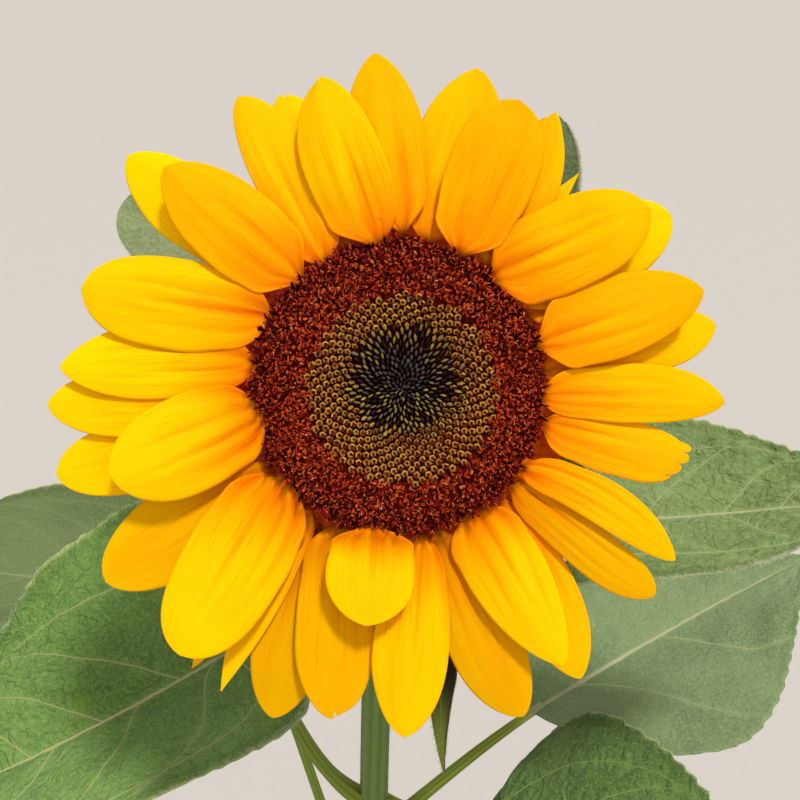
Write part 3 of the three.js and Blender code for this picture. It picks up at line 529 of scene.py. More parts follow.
def bezier_way(points, f):
    f = np.asarray(f, float)[..., None]
    a, b, c, d = [np.asarray(p, float) for p in points]
    return unit((b - a) * (1 - f) ** 2 + 2 * (c - b) * f * (1 - f) + (d - c) * f * f)


def stem_point(s):
    s = np.asarray(s, float)
    return np.where((s <= 1)[..., None], straight_at(np.minimum(s, 1) * STEM_STRAIGHT), bezier(NECK, np.clip(s - 1, 0, 1)))


def stem_way(s):
    s = np.asarray(s, float)
    return unit(stem_point(np.clip(s + 1e-3, 0, 2)) - stem_point(np.clip(s - 1e-3, 0, 2)))


def stem_radius(s):
    s = np.asarray(s, float)
    low = STEM_FOOT - STEM_LOSS * np.minimum(s, 1) ** 1.1 + FLARE * np.exp(-np.minimum(s, 1) * STEM_STRAIGHT / FLARE_FADE)
    return np.where(s <= 1, low, STEM_FOOT - STEM_LOSS - 0.4 * (s - 1) + NECK_SWELL * np.maximum(s - 1, 0) ** 4)


def tube(center, way, radius, sides, relief=None, first=(1, 0, 0)):
    """Points of a tube (n, sides, 3), its angles, and its outward directions."""
    e1 = np.broadcast_to(np.asarray(first, float), way.shape)
    e1 = unit(e1 - way * np.sum(e1 * way, -1, keepdims=True))
    e2 = np.cross(way, e1)
    ang = np.linspace(0, 2 * PI, sides, endpoint=False)
    out = e1[:, None, :] * np.cos(ang)[None, :, None] + e2[:, None, :] * np.sin(ang)[None, :, None]
    r = np.asarray(radius, float)[:, None] * np.ones(sides)[None, :]
    if relief is not None:
        r = r + relief(ang, len(center))
    return center[:, None, :] + out * r[..., None], ang, out


stem_green = stem_material("stem_skin", linear(106, 130, 66), linear(126, 150, 82))
stalk_green = stem_material("stalk_skin", linear(110, 122, 33), linear(149, 163, 65))
pale_stalk = stem_material("pale_stalk_skin", linear(124, 148, 44), linear(158, 176, 80))

SS = np.concatenate([np.linspace(0, 0.06, 24)[:-1], np.linspace(0.06, 1, 250)[:-1], np.linspace(1, 2, 60)])
rng = np.random.default_rng(11)
rib_phase = rng.uniform(-0.25, 0.25, 9)


def stem_relief(ang, n):
    s = SS[:, None]
    turn = 0.35 * np.sin(3.1 * s) + 0.12 * np.sin(9.7 * s)
    ribs = np.cos(9 * (ang[None, :] + turn) + 0.6 * np.sin(ang[None, :] * 2 + 1.3))
    depth = 0.019 * stem_radius(SS)[:, None] * (1 - 0.35 * np.clip(s - 1, 0, 1))
    low = 0.25 * waves(np.random.default_rng(3), ang[None, :] * 2.0, s * 60, 1.0)
    flare = 1.1 * np.exp(-s * STEM_STRAIGHT / 22.0) * np.cos(5 * ang[None, :] + 0.7)
    return depth * (ribs - 0.6) + low * 0.5 + flare


centers = stem_point(SS)
ways = stem_way(SS)
ways[0] = (0, 0, 1)
sides = 72
pts, ang, outs = tube(centers, ways, stem_radius(SS), sides, stem_relief)
pts[0, :, 2] = 0.0
# rib value: high on the ribs and low in the grooves, for painted shade in the grooves
rib_value = (np.cos(9 * (ang[None, :] + 0.35 * np.sin(3.1 * SS[:, None]) + 0.12 * np.sin(9.7 * SS[:, None])) + 0.6 * np.sin(ang[None, :] * 2 + 1.3)) * 0.5 + 0.5) * np.ones((len(SS), 1))
V = np.concatenate([pts.reshape(-1, 3), centers[:1], centers[-1:]])
nS = len(SS)
cap0 = np.stack([np.full(sides, nS * sides), (np.arange(sides) + 1) % sides, np.arange(sides)], -1)
cap1 = np.stack([np.full(sides, nS * sides + 1), (nS - 1) * sides + np.arange(sides), (nS - 1) * sides + (np.arange(sides) + 1) % sides], -1)
uvs = np.stack([np.repeat(SS, sides), np.tile(np.abs(ang / PI - 1), nS)], -1)
make("stem_ribbed", V, [grid_faces(nS, sides, True)[:, ::-1], cap0[:, ::-1], cap1[:, ::-1]], [stem_green],
     uv=np.concatenate([uvs, [[0, 0], [2, 0]]]), values={"rib": np.concatenate([rib_value.ravel(), [0.5, 0.5]])}, slot="stem", nodes=("stem",))


# ------------------------------------------------------------------ leaves
def leaf_setup(spec):
    lf = dict(LEAF_FORM)
    lf.update(spec)
    lf["J"], lf["T"] = np.array(lf["joint"], float), np.array(lf["tip"], float)
    axis = lf["T"] - lf["J"]
    lf["L"] = float(np.linalg.norm(axis))
    lf["axis"] = axis / lf["L"]
    s = lf["start"] / STEM_STRAIGHT if lf["neck"] is None else 1 + lf["neck"]
    lf["foot"] = stem_point(s)
    way = stem_way(s)
    flat = lf["J"] - lf["foot"]
    flat = unit(flat - way * np.dot(flat, way))
    lf["outward"] = unit(flat + way * (lf["lift"] / (1 - lf["lift"] * 0.35)))
    return lf


def leaf_frame(lf, u, t):
    """Place of the smooth blade at (u along, t across), its normal, its across direction and its half width."""
    up = unit(np.array([0, 0, 1.0]) - lf["axis"] * lf["axis"][2])
    side = np.cross(up, lf["axis"])
    mid = (lf["J"] + lf["T"]) / 2 + up * 2 * lf["bulge"] + side * 2 * lf["side"]
    u1 = u[..., None]
    c = lf["J"] * (1 - u1) ** 2 + 2 * mid * u1 * (1 - u1) + lf["T"] * u1 ** 2
    tan = unit((mid - lf["J"]) * (1 - u1) + (lf["T"] - mid) * u1)
    b0 = unit(np.cross(up, tan))
    n0 = np.cross(tan, b0)
    r = math.radians(lf["roll"])
    across = b0 * math.cos(r) + n0 * math.sin(r)
    normal = np.cross(tan, across)
    um = np.clip(u, 0, 1)
    g = np.where(um < lf["m"], np.sin(PI / 2 * np.clip(um / lf["m"], 0, 1)) ** lf["b0"], np.clip(1 - (np.clip((um - lf["m"]) / (1 - lf["m"]), 0, 1)) ** lf["p"], 0, 1) ** lf["q"])
    half = np.maximum(0.25, np.where(t > 0, lf["wl"], lf["wr"]) * g)
    fold = np.radians(np.where(t > 0, lf["fl"], lf["fr"]))
    a = np.abs(t)
    at = c + across * (t * half * np.cos(fold))[..., None] + normal * (a * half * np.sin(fold) - lf["curl"] * a * a * half)[..., None]
    lobe = np.where(t > 0, lf["lobe"], lf.get("lobe_right", lf["lobe"]))
    at = at - tan * (lobe * lf["L"] * a ** 1.3 * np.sin(PI * np.minimum(1, um / 0.4)))[..., None]
    return at, normal, across, tan, half


def surface_normals(p):
    """Normals of a grid of points (n, m, 3)."""
    du = np.gradient(p, axis=0)
    dv = np.gradient(p, axis=1)
    return unit(np.cross(du, dv))


SIDE_VEINS = ((0.17, 0.66), (0.38, 0.50), (0.585, 0.36), (0.76, 0.25), (0.88, 0.16))


def side_veins(lf, sign):
    """Starts and slants of the side veins of one half of the blade."""
    own = lf.get("left_veins" if sign > 0 else "right_veins")
    off = 0.0 if sign > 0 else lf.get("offset", 0.03)
    return own if own is not None else tuple((u0 + off, slope) for u0, slope in SIDE_VEINS)


def vein_course(u0, slope, k, a):
    return u0 + slope * a * (1 - 0.10 * a) + 0.010 * np.sin(7 * a + k)


def basal_course(lf, sign, u):
    return 0.16 + (0.24 + lf.get("basal_left" if sign > 0 else "basal_right", 0.0)) * smooth(0, 0.10, u) + 0.66 * u


def vein_lines(lf):
    """The veins as (u, t) curves with a width in mm at the start and the end, main ones first."""
    out = [(np.linspace(0, 0.985, 70), np.zeros(70), lf.get("rib", 2.3), 0.4, 0)]
    for sign in (1, -1):
        for k, (u0, slope) in enumerate(side_veins(lf, sign)):
            t = np.linspace(0, (0.93, 0.93, 0.9, 0.86, 0.8)[k], 34)
            u = vein_course(u0, slope, k, t)
            ok = u < 0.985
            out.append((u[ok], sign * t[ok], 1.15 - 0.14 * k, 0.3, 1))
            for tb in ((0.28, 0.5, 0.7) if k < 3 and not lf.get("simple") else ()):
                du = np.linspace(0, 0.13 + 0.02 * k, 12)
                out.append((vein_course(u0, slope, k, tb) + du, sign * (tb + 0.55 * du), 0.45, 0.18, 2))
        if lf.get("simple"):
            continue
        u = np.linspace(0.0, 0.78, 46)
        t = basal_course(lf, sign, u)
        ok = t < 0.95
        out.append((u[ok], sign * t[ok], 1.1, 0.3, 1))
        for k, ub in enumerate((0.08, 0.20, 0.34, 0.48)):
            tb = basal_course(lf, sign, ub)
            if tb < 0.85:
                t = np.linspace(tb, 0.95, 16)
                out.append((ub + (0.16 + 0.1 * k) * (t - tb), sign * t, 0.6, 0.2, 2))
    return out


def leaf_relief(lf, u, t, seed):
    """Height of the blade's own relief along its normal, and its vein and edge values; the edge value is a pale rim at
    the margin and, below zero, a band of painted shade just inside it.
    """
    L, half = lf["L"], np.where(t > 0, lf["wl"], lf["wr"])
    size = min(1.0, max(lf["wl"], lf["wr"]) / 40.0)
    a = np.abs(t)
    d_mid = a * half
    near = np.exp(-((d_mid / 1.9) ** 2))
    h = -0.9 * size * np.exp(-((d_mid / 3.0) ** 2)) * (1 - 0.5 * u)
    for sign in (1, -1):
        on = (t * sign > 0)
        for k, (u0, slope) in enumerate(side_veins(lf, sign)):
            d = (u - vein_course(u0, slope, k, a)) * L * 0.8
            v = np.exp(-((d / 2.2) ** 2)) * on * smooth(0, 0.06, a) * (1 - 0.5 * a)
            h = h - 0.62 * size * v
            near = np.maximum(near, np.exp(-((d / 1.3) ** 2)) * on * 0.8)
            h = h + 0.55 * size * np.exp(-(((d - 0.085 * L) / (0.05 * L)) ** 2)) * on * np.sin(PI * np.clip(a, 0, 1))
        d = (a - basal_course(lf, sign, u)) * half * 0.9
        v = np.exp(-((d / 2.2) ** 2)) * on * (u < 0.8)
        if lf.get("simple"):
            v = v * 0
        h = h - 0.5 * size * v
        near = np.maximum(near, np.exp(-((d / 1.3) ** 2)) * on * (0.0 if lf.get("simple") else 0.7))
    rng = np.random.default_rng(seed)
    x, y = u * L, t * half
    coarse = lf.get("rough", 1.0)
    h = h + 0.55 * size * waves(rng, x, y, 0.16) * smooth(0.02, 0.2, a) + coarse * (0.22 * size * waves(rng, x, y, 0.5, 9) + 0.10 * size * waves(rng, x, y, 1.3, 9))
    if lf.get("rough"):
        h = h - 0.45 * coarse * np.exp(-((waves(rng, x, y, 0.34, 7) / 0.16) ** 2)) * smooth(0.05, 0.25, a)
    for sign, key in ((1, "pucker_left"), (-1, "pucker_right")):
        if lf.get(key):
            band = smooth(0.45, 0.80, t * sign) * (1 - 0.6 * smooth(0.93, 1.0, t * sign))
            h = h + lf[key] * band * (np.abs(waves(rng, x, y, 0.42, 8)) ** 0.8 - 0.4)
    wavy = lf.get("wavy", 2.2) * size
    h = h + wavy * smooth(0.55, 1.0, a) ** 2 * waves(rng, x, y * 0.2, 0.13, 4) * np.sin(PI * np.clip(u, 0, 1)) ** 0.5
    # edge: pale rim at the margin, less a band of painted shade just inside it
    edge = lf.get("rim", 1.0) * smooth(0.975, 1.0, a) - 0.42 * np.exp(-(((a - 0.925) / 0.035) ** 2)) * lf.get("band", 0.6)
    return h, near, edge


def leaf_blade(lf, nu, nt, seed):
    rng = np.random.default_rng(seed)
    x = np.linspace(0, 1, nu)
    us = 1 - (1 - x) ** 1.12
    ts = np.linspace(-1, 1, nt)
    ts = np.sign(ts) * np.abs(ts) ** 0.88
    U2, T2 = np.meshgrid(us, ts, indexing="ij")
    at, normal, across, tan, half = leaf_frame(lf, U2, T2)
    h, near, edge = leaf_relief(lf, U2, T2, seed)
    width = smooth(0.0, 0.05, U2) * smooth(0.0, 0.04, 1 - U2) + 0.02
    at = at + normal * (h * width)[..., None]
    # teeth along the margin, leaning to the tip
    pitch = lf.get("tooth", 7.5)
    for side in (0, -1):
        edge_len = np.concatenate([[0], np.cumsum(np.linalg.norm(np.diff(at[:, side], axis=0), axis=-1))])
        phase = edge_len / pitch + 0.5 * np.interp(edge_len, np.arange(0, edge_len[-1] + 15, 15.0), rng.uniform(-0.5, 0.5, len(np.arange(0, edge_len[-1] + 15, 15.0))))
        f = phase % 1.0
        tooth = lf.get("bite_left" if side == -1 else "bite_right", lf.get("bite", 1.5)) * (np.where(f < 0.72, f / 0.72, (1 - f) / 0.28) - 0.45) * (0.6 + 0.8 * np.interp(phase, np.arange(0, 200), rng.uniform(0.3, 1, 200)))
        tooth = tooth * smooth(0.04, 0.15, us) * (1 - smooth(0.93, 1.0, us))
        s = 1 if side == -1 else -1
        ramp = smooth(0.86, 1.0, T2 * s)
        at = at + across * (s * ramp * tooth[:, None])[..., None] + tan * (ramp * 0.6 * tooth[:, None])[..., None]
    # margins that roll under
    for s, amount in ((1, lf.get("roll_left", 0.0)), (-1, lf.get("roll_right", 0.0))):
        if amount:
            a = smooth(0.84, 1.0, T2 * s)
            at = at - normal * (a ** 1.5 * amount * np.sin(PI * np.clip(U2 * 1.05, 0, 1)) ** 0.6)[..., None] - across * (s * a ** 2.5 * amount * 0.45)[..., None]
    return us, ts, at, near, edge


def stalk_curve(lf):
    a0 = leaf_frame(lf, np.array([0.0]), np.array([0.0]))[0][0]
    a1 = leaf_frame(lf, np.array([0.06]), np.array([0.0]))[0][0]
    aimed = unit(a1 - a0)
    reach = float(np.linalg.norm(lf["J"] - lf["foot"]))
    end = lf["J"] + aimed * min(6.0, 0.08 * lf["L"])
    return [lf["foot"], lf["foot"] + lf["outward"] * lf["spring"] * reach, lf["J"] - aimed * lf["hold"] * reach, end]


def grid_lookup(us, ts, grid, u, t):
    """Place on a computed blade at (u, t), by interpolation."""
    iu = np.clip(np.interp(u, us, np.arange(len(us))), 0, len(us) - 1.001)
    it = np.clip(np.interp(t, ts, np.arange(len(ts))), 0, len(ts) - 1.001)
    i, j = iu.astype(int), it.astype(int)
    fi, fj = (iu - i)[..., None], (it - j)[..., None]
    return (grid[i, j] * (1 - fi) + grid[i + 1, j] * fi) * (1 - fj) + (grid[i, j + 1] * (1 - fi) + grid[i + 1, j + 1] * fi) * fj


vein_bags = {"bright": Bag(), "dim": Bag(), "pale": Bag(), "faint": Bag()}
stalk_bag_a, stalk_bag_b, hair_bag = Bag(), Bag(), Bag()
stalk_values = {"a": [], "b": []}
stalk_uv = {"a": [], "b": []}


def add_hairs(bag, root, way, length, width, rng, slot=0, bend=0.25):
    """Fine hairs as thin three-sided spikes."""
    n = len(root)
    way = unit(way + rng.normal(0, bend, (n, 3)))
    other = unit(np.cross(way, rng.normal(0, 1, (n, 3))))
    third = np.cross(way, other)
    w = np.asarray(width).reshape(-1, 1) * np.ones((n, 1))
    l = np.asarray(length).reshape(-1, 1) * np.ones((n, 1))
    a = root + other * w
    b = root - other * w * 0.5 + third * w * 0.87
    c = root - other * w * 0.5 - third * w * 0.87
    tip = root + way * l
    v = np.stack([a, b, c, tip], 1).reshape(-1, 3)
    k = np.arange(n)[:, None] * 4
    tris = np.concatenate([k + [0, 1, 3], k + [1, 2, 3], k + [2, 0, 3]])
    bag.add(v, tris=tris, tri_slots=np.full(len(tris), slot))


def add_leaf(spec, seed, mat, near_view, stalk_kind="a", hairs=0, slot="leaf"):
    lf = leaf_setup(spec)
    nu, nt = (136, 61) if near_view else (62, 29)
    if lf["L"] < 90:
        nu, nt = 70, 27
    us, ts, at, near, edge = leaf_blade(lf, nu, nt, seed)
    nrm = surface_normals(at)
    if np.sum(nrm * leaf_frame(lf, np.array([[0.5]]), np.array([[0.0]]))[1]) < 0:
        nrm = -nrm
    uv = np.stack(np.meshgrid(us, ts * 0.5 + 0.5, indexing="ij"), -1).reshape(-1, 2)
    faces = grid_faces(nu, nt)
    first = at.reshape(-1, 3)[faces[len(faces) // 2]]
    turned = np.dot(np.cross(first[1] - first[0], first[3] - first[0]), nrm.reshape(-1, 3)[faces[len(faces) // 2][0]]) < 0
    if turned:
        faces = faces[:, ::-1]
    make(lf["name"] + "_blade", at, [faces], [mat], uv=uv, values={"vein": near.ravel(), "edge": edge.ravel(), "along": uv[:, 0], "over": uv[:, 1] * 2 - 1}, slot=slot, thick=0.35, nodes=(lf["name"],))
    # veins as low ridges on the blade
    scale = min(1.0, lf["L"] / 150) * lf.get("vein_size", 1.0)
    for u, t, w0, w1, rank in vein_lines(lf):
        if len(u) < 4 or (lf["L"] < 60 and rank):
            continue
        c = grid_lookup(us, ts, at, u, t)
        nn = unit(grid_lookup(us, ts, nrm, u, t))
        way = unit(np.gradient(c, axis=0))
        sidew = unit(np.cross(nn, way))
        wid = (np.linspace(w0, w1, len(u)) * scale / 2)[:, None]
        lift = (0.16 if near_view else 0.3) + 0.40 * wid
        prof = [(-1.0, -0.3), (-0.75, 0.5), (0.0, 1.0), (0.75, 0.5), (1.0, -0.3)]
        ring = np.stack([c + sidew * wid * px + nn * lift * py for px, py in prof], 1)
        vein_bags[lf.get("veins", "bright")].add(ring, quads=grid_faces(len(u), 5), quad_slots=0 if rank == 0 else 1 if rank == 1 else 2)
    # stalk, channelled on its upper side
    curve = stalk_curve(lf)
    f = np.linspace(0, 1, 44)
    c, way = bezier(curve, f), bezier_way(curve, f)
    r = lf["stalk"] * (1 - 0.42 * f) * np.where(f < 0.2, 1 + 0.5 * (0.2 - f) / 0.2, 1)
    e1 = unit(np.cross(np.array([0, 0, 1.0]), way))
    e2 = np.cross(way, e1)
    sd = 28
    an = np.linspace(0, 2 * PI, sd, endpoint=False)
    groove = 1 - 0.30 * np.exp(-((np.angle(np.exp(1j * (an - PI / 2))) / 0.45) ** 2)) + 0.035 * np.cos(7 * an + 0.4)
    ring = c[:, None] + (e1[:, None] * np.cos(an)[None, :, None] + e2[:, None] * np.sin(an)[None, :, None]) * (r[:, None] * groove[None, :])[..., None]
    bag = stalk_bag_a if stalk_kind == "a" else stalk_bag_b
    bag.add(ring, quads=grid_faces(len(f), sd, True)[:, ::-1])
    pale = lf.get("pale_end", 0.0) * smooth(0.80, 0.97, f)
    # Stalk rib value: lighter on the seven ridges and darker between them (painted shade in the grooves), and a pale
    # end where asked.
    stalk_values[stalk_kind].append((np.clip(0.5 + 0.4 * np.cos(7 * an + 0.4), 0, 1)[None, :] * (1 - pale[:, None]) + 2.0 * pale[:, None]).ravel())
    stalk_uv[stalk_kind].append(np.stack([np.repeat(f * 0.4 + 0.13 * (seed % 9), sd), np.tile(np.abs(an / PI - 1), len(f))], -1))
    # hairs
    rg = np.random.default_rng(seed + 500)
    if hairs:
        for s, key in ((1, "hair_left"), (-1, "hair_right")):
            n = int(lf.get(key, hairs))
            u = rg.uniform(0.03, 0.98, n)
            t = s * rg.uniform(0.90, 1.0, n) ** 0.5
            c0 = grid_lookup(us, ts, at, u, t)
            c1 = grid_lookup(us, ts, at, u, t * 0.93)
            outw = unit(c0 - c1)
            nn = unit(grid_lookup(us, ts, nrm, u, t))
            add_hairs(hair_bag, c0, outw * rg.uniform(0.3, 1.0, (n, 1)) + nn * rg.uniform(0.2, 0.9, (n, 1)), rg.uniform(0.7, 1.9, n) * lf.get("hair_long", 1.0), 0.045, rg)
    if lf.get("fuzz"):
        n = lf["fuzz"]
        u, t = rg.uniform(0.02, 0.98, n), rg.uniform(-0.97, 0.97, n)
        nn = unit(grid_lookup(us, ts, nrm, u, t))
        add_hairs(hair_bag, grid_lookup(us, ts, at, u, t), nn, rg.uniform(0.25, 0.7, n), 0.022, rg, bend=0.6)
    k = 260 if near_view else 90
    ff = rg.uniform(0.03, 1, k)
    cc, ww = bezier(curve, ff), bezier_way(curve, ff)
    rr = np.interp(ff, f, r)
    o = unit(np.cross(ww, rg.normal(0, 1, (k, 3))))
    add_hairs(hair_bag, cc + o * rr[:, None] * 0.95, o, rg.uniform(0.7, 1.6, k), 0.04, rg)
    return lf, us, ts, at, nrm


G0 = leaf_material("leaf_green_far", linear(82, 98, 56), linear(100, 116, 72), 7, net=0.06, spots=0.0)
G1 = leaf_material("leaf_green_dark", linear(89, 118, 51), linear(115, 146, 76), 1, net=0.5)
G2 = leaf_material("leaf_green_mid", linear(96, 118, 64), linear(122, 142, 88), 2, net=0.3, spots=0.3)
G3 = leaf_material("leaf_green_pale", linear(102, 121, 80), linear(124, 142, 98), 3, net=0.10, spots=0.0)
G4 = leaf_material("leaf_green_deep", linear(70, 95, 42), linear(98, 122, 64), 4, net=0.45, spots=0.2)
GB = leaf_material("bract_green", linear(104, 122, 78), linear(138, 150, 108), 5, net=0.0, spots=0.0)
GR = leaf_material("bract_green_mid", linear(76, 94, 58), linear(96, 114, 76), 9, net=0.0, spots=0.0)
GD = leaf_material("bract_green_dark", linear(96, 110, 31), linear(130, 146, 53), 6, net=0.2, spots=0.0, painted_shade_base=True)

look = {
    "leaf_left_front": dict(rib=3.3, roll_left=2.2, tooth=7.0, bite=1.7, wavy=1.4, basal_left=0.17, pucker_right=2.2, pucker_left=0.6, hair_left=3400, hair_right=350, hair_long=1.4, fuzz=5000, rough=1.2, bite_left=0.7,
                            left_veins=((0.06, 0.40), (0.29, 0.26), (0.53, 0.20), (0.71, 0.16), (0.85, 0.12)),
                            right_veins=((0.17, 0.62), (0.39, 0.50), (0.60, 0.30), (0.76, 0.22), (0.88, 0.16))),
    "leaf_left_back": dict(rib=1.8, tooth=9, bite=0.9, wavy=1.2, veins="faint", vein_size=0.8, hair_left=150, hair_right=150),
    "leaf_right_top": dict(rib=2.4, roll_right=0.9, fuzz=3500, rough=1.0, bite_right=0.25, tooth=5.5, bite=0.7, wavy=0.8, lobe_right=0.38, pucker_left=2.0, pucker_right=1.0, veins="pale", hair_left=300, hair_right=3600,
                           left_veins=((0.165, 0.51), (0.43, 0.39), (0.62, 0.33), (0.77, 0.25), (0.88, 0.16)),
                           right_veins=((0.19, 0.36), (0.42, 0.32), (0.62, 0.26), (0.77, 0.2), (0.88, 0.15))),
    "leaf_right_back": dict(rim=0.15, rib=4.0, tooth=8, bite=0.8, wavy=1.0, pale_end=1.0, band=0.2, vein_size=1.2, veins="pale", simple=True, hair_left=150, hair_right=150,
                            left_veins=(), right_veins=((0.15, 0.40), (0.45, 0.36))),
    "leaf_right_front": dict(rib=1.8, tooth=8, bite=1.2, wavy=1.0, veins="dim", pucker_left=1.3, pucker_right=1.3, rough=1.2, hair_left=300, hair_right=300),
}
near_mat = {"leaf_left_front": G1, "leaf_left_back": G0, "leaf_right_top": G2, "leaf_right_back": G3, "leaf_right_front": G4}
for i, spec in enumerate(NEAR_LEAVES):
    sp = dict(spec)
    sp.update(look[spec["name"]])
    add_leaf(sp, 100 + i, near_mat[spec["name"]], True, stalk_kind="b" if spec["name"] == "leaf_left_back" else "a", hairs=1500)
for i, (name, z, az, stalk, rise, blade, drop, halfw) in enumerate(SPIRAL_LEAVES):
    foot = straight_at(z)
    d = np.array([math.cos(math.radians(az)), math.sin(math.radians(az)), 0.0])
    up = np.array([0, 0, 1.0])
    joint = foot + d * stalk * math.cos(math.radians(rise)) + up * stalk * math.sin(math.radians(rise))
    tip = joint + d * blade * math.cos(math.radians(drop)) - up * blade * math.sin(math.radians(drop))
    sp = dict(name=name, start=z, joint=joint, tip=tip, wl=halfw, wr=halfw, bulge=0.11 * blade, stalk=3.2 + 0.012 * stalk, rib=2.4, tooth=9.0, bite=1.9, wavy=3.0, offset=0.03 if i % 2 else -0.03, veins="dim")
    add_leaf(sp, 200 + i, (G1, G2, G4)[i % 3], False, hairs=260)
for i, spec in enumerate(BRACT_LEAVES):
    sp = dict(spec)
    sp.update(dict(rib=0.9, tooth=30, bite=0.2, wavy=0.5, vein_size=0.8, simple=True, left_veins=(), right_veins=()))
    if spec["name"] == "bract_leaf_right":
        sp.update(dict(hair_right=2600, hair_left=400))
    low = spec["name"] == "bract_leaf_low"
    lf, us, ts, at, nrm = add_leaf(sp, 300 + i, GD if low else GR if i == 1 else GB, True, stalk_kind="b", hairs=260 if low else 900, slot="bract")
    if low:
        rg = np.random.default_rng(37)
        u = np.linspace(0.35, 0.85, 13) + rg.normal(0, 0.008, 13)
        add_hairs(hair_bag, grid_lookup(us, ts, at, u, np.full(13, -0.45)), np.broadcast_to(np.array([[-0.7, -0.6, 0.3]]), (13, 3)), rg.uniform(1.0, 1.7, 13), 0.06, rg)

for kind, shades in {"bright": ((166, 164, 116), (150, 156, 104), (118, 140, 80)), "dim": ((140, 150, 92), (116, 136, 74), (98, 122, 62)), "pale": ((164, 166, 128), (150, 160, 116), (128, 146, 94)),
                     "faint": ((132, 146, 104), (114, 130, 86), (106, 122, 78))}.items():
    vein_bags[kind].make("leaf_veins_" + kind, [plain("vein_" + kind + "_" + str(j), shade, rough=0.6, spec=0.12) for j, shade in enumerate(shades)], slot="leaf")
stalk_bag_a.make("leaf_stalks", [stalk_green], uv=np.concatenate(stalk_uv["a"]), values={"rib": np.concatenate(stalk_values["a"])}, slot="stem")
stalk_bag_b.make("leaf_stalks_pale", [pale_stalk], uv=np.concatenate(stalk_uv["b"]), values={"rib": np.concatenate(stalk_values["b"])}, slot="stem")

# hairs on the stem
rg = np.random.default_rng(77)
n = 5200
s = np.concatenate([rg.uniform(0.01, 1.0, n - 1500), rg.uniform(0.72, 1.98, 1500)])
ce, wa = stem_point(s), stem_way(s)
o = unit(np.cross(wa, rg.normal(0, 1, (n, 3))))
add_hairs(hair_bag, ce + o * (stem_radius(s) * 0.97)[:, None], o, rg.uniform(0.8, 2.0, n), 0.05, rg)
hair_bag.make("hairs", [plain("hair_white", (205, 210, 180), rough=0.5, spec=0.3)], slot="stem", smooth_faces=False)


# ------------------------------------------------------------------ head: rays
def dish(r):
    return 0.10 * (r - RIM) - 0.0012 * (r - RIM) ** 2


def ray_share(row, s):
    """Half width of a ray along it, as a share of its greatest: the solid's outline with rounded shoulders at the root."""
    m, b0, k, p, q = row[8:13]
    sc = np.clip(s, 0, 1)
    g = np.where(sc < m, b0 + (1 - b0) * np.sin(PI / 2 * np.clip(sc / m, 0, 1)) ** k, np.clip(1 - np.clip((sc - m) / (1 - m), 0, 1) ** p, 0, 1) ** q)
    g = g * (1 + 0.10 * np.exp(-(((sc - 0.14) / 0.08) ** 2)))
    return g * (0.13 + 0.87 * np.sin(PI / 2 * np.clip((np.asarray(s) + 0.012) / (1.25 * ROUNDED.get(row[0], 0.065)), 0, 1)) ** 0.55)


def ray_line(row):
    """Root, direction, across direction and length of a ray in the plane of the head."""
    ba, br, ta, tr = row[1:5]
    base = br * np.array([math.cos(math.radians(ba)), math.sin(math.radians(ba))])
    tip = tr * np.array([math.cos(math.radians(ta)), math.sin(math.radians(ta))])
    L = float(np.linalg.norm(tip - base))
    along = (tip - base) / L
    return base, along, np.array([-along[1], along[0]]), L


def under_rays(x, y, inset=0.3):
    """Which points of the head's plane lie under some ray's visible blade."""
    hit = np.zeros(len(x), bool)
    for row in RAYS:
        base, along, across, L = ray_line(row)
        s = ((x - base[0]) * along[0] + (y - base[1]) * along[1]) / L
        c = (x - base[0]) * across[0] + (y - base[1]) * across[1] - 4 * row[13] * s * (1 - s) * L
        half = row[5] / 2 * ray_share(row, s) * (1 + row[14] * np.sign(c))
        hit |= (s > 0.01) & (np.abs(c) < half - inset)
    return hit


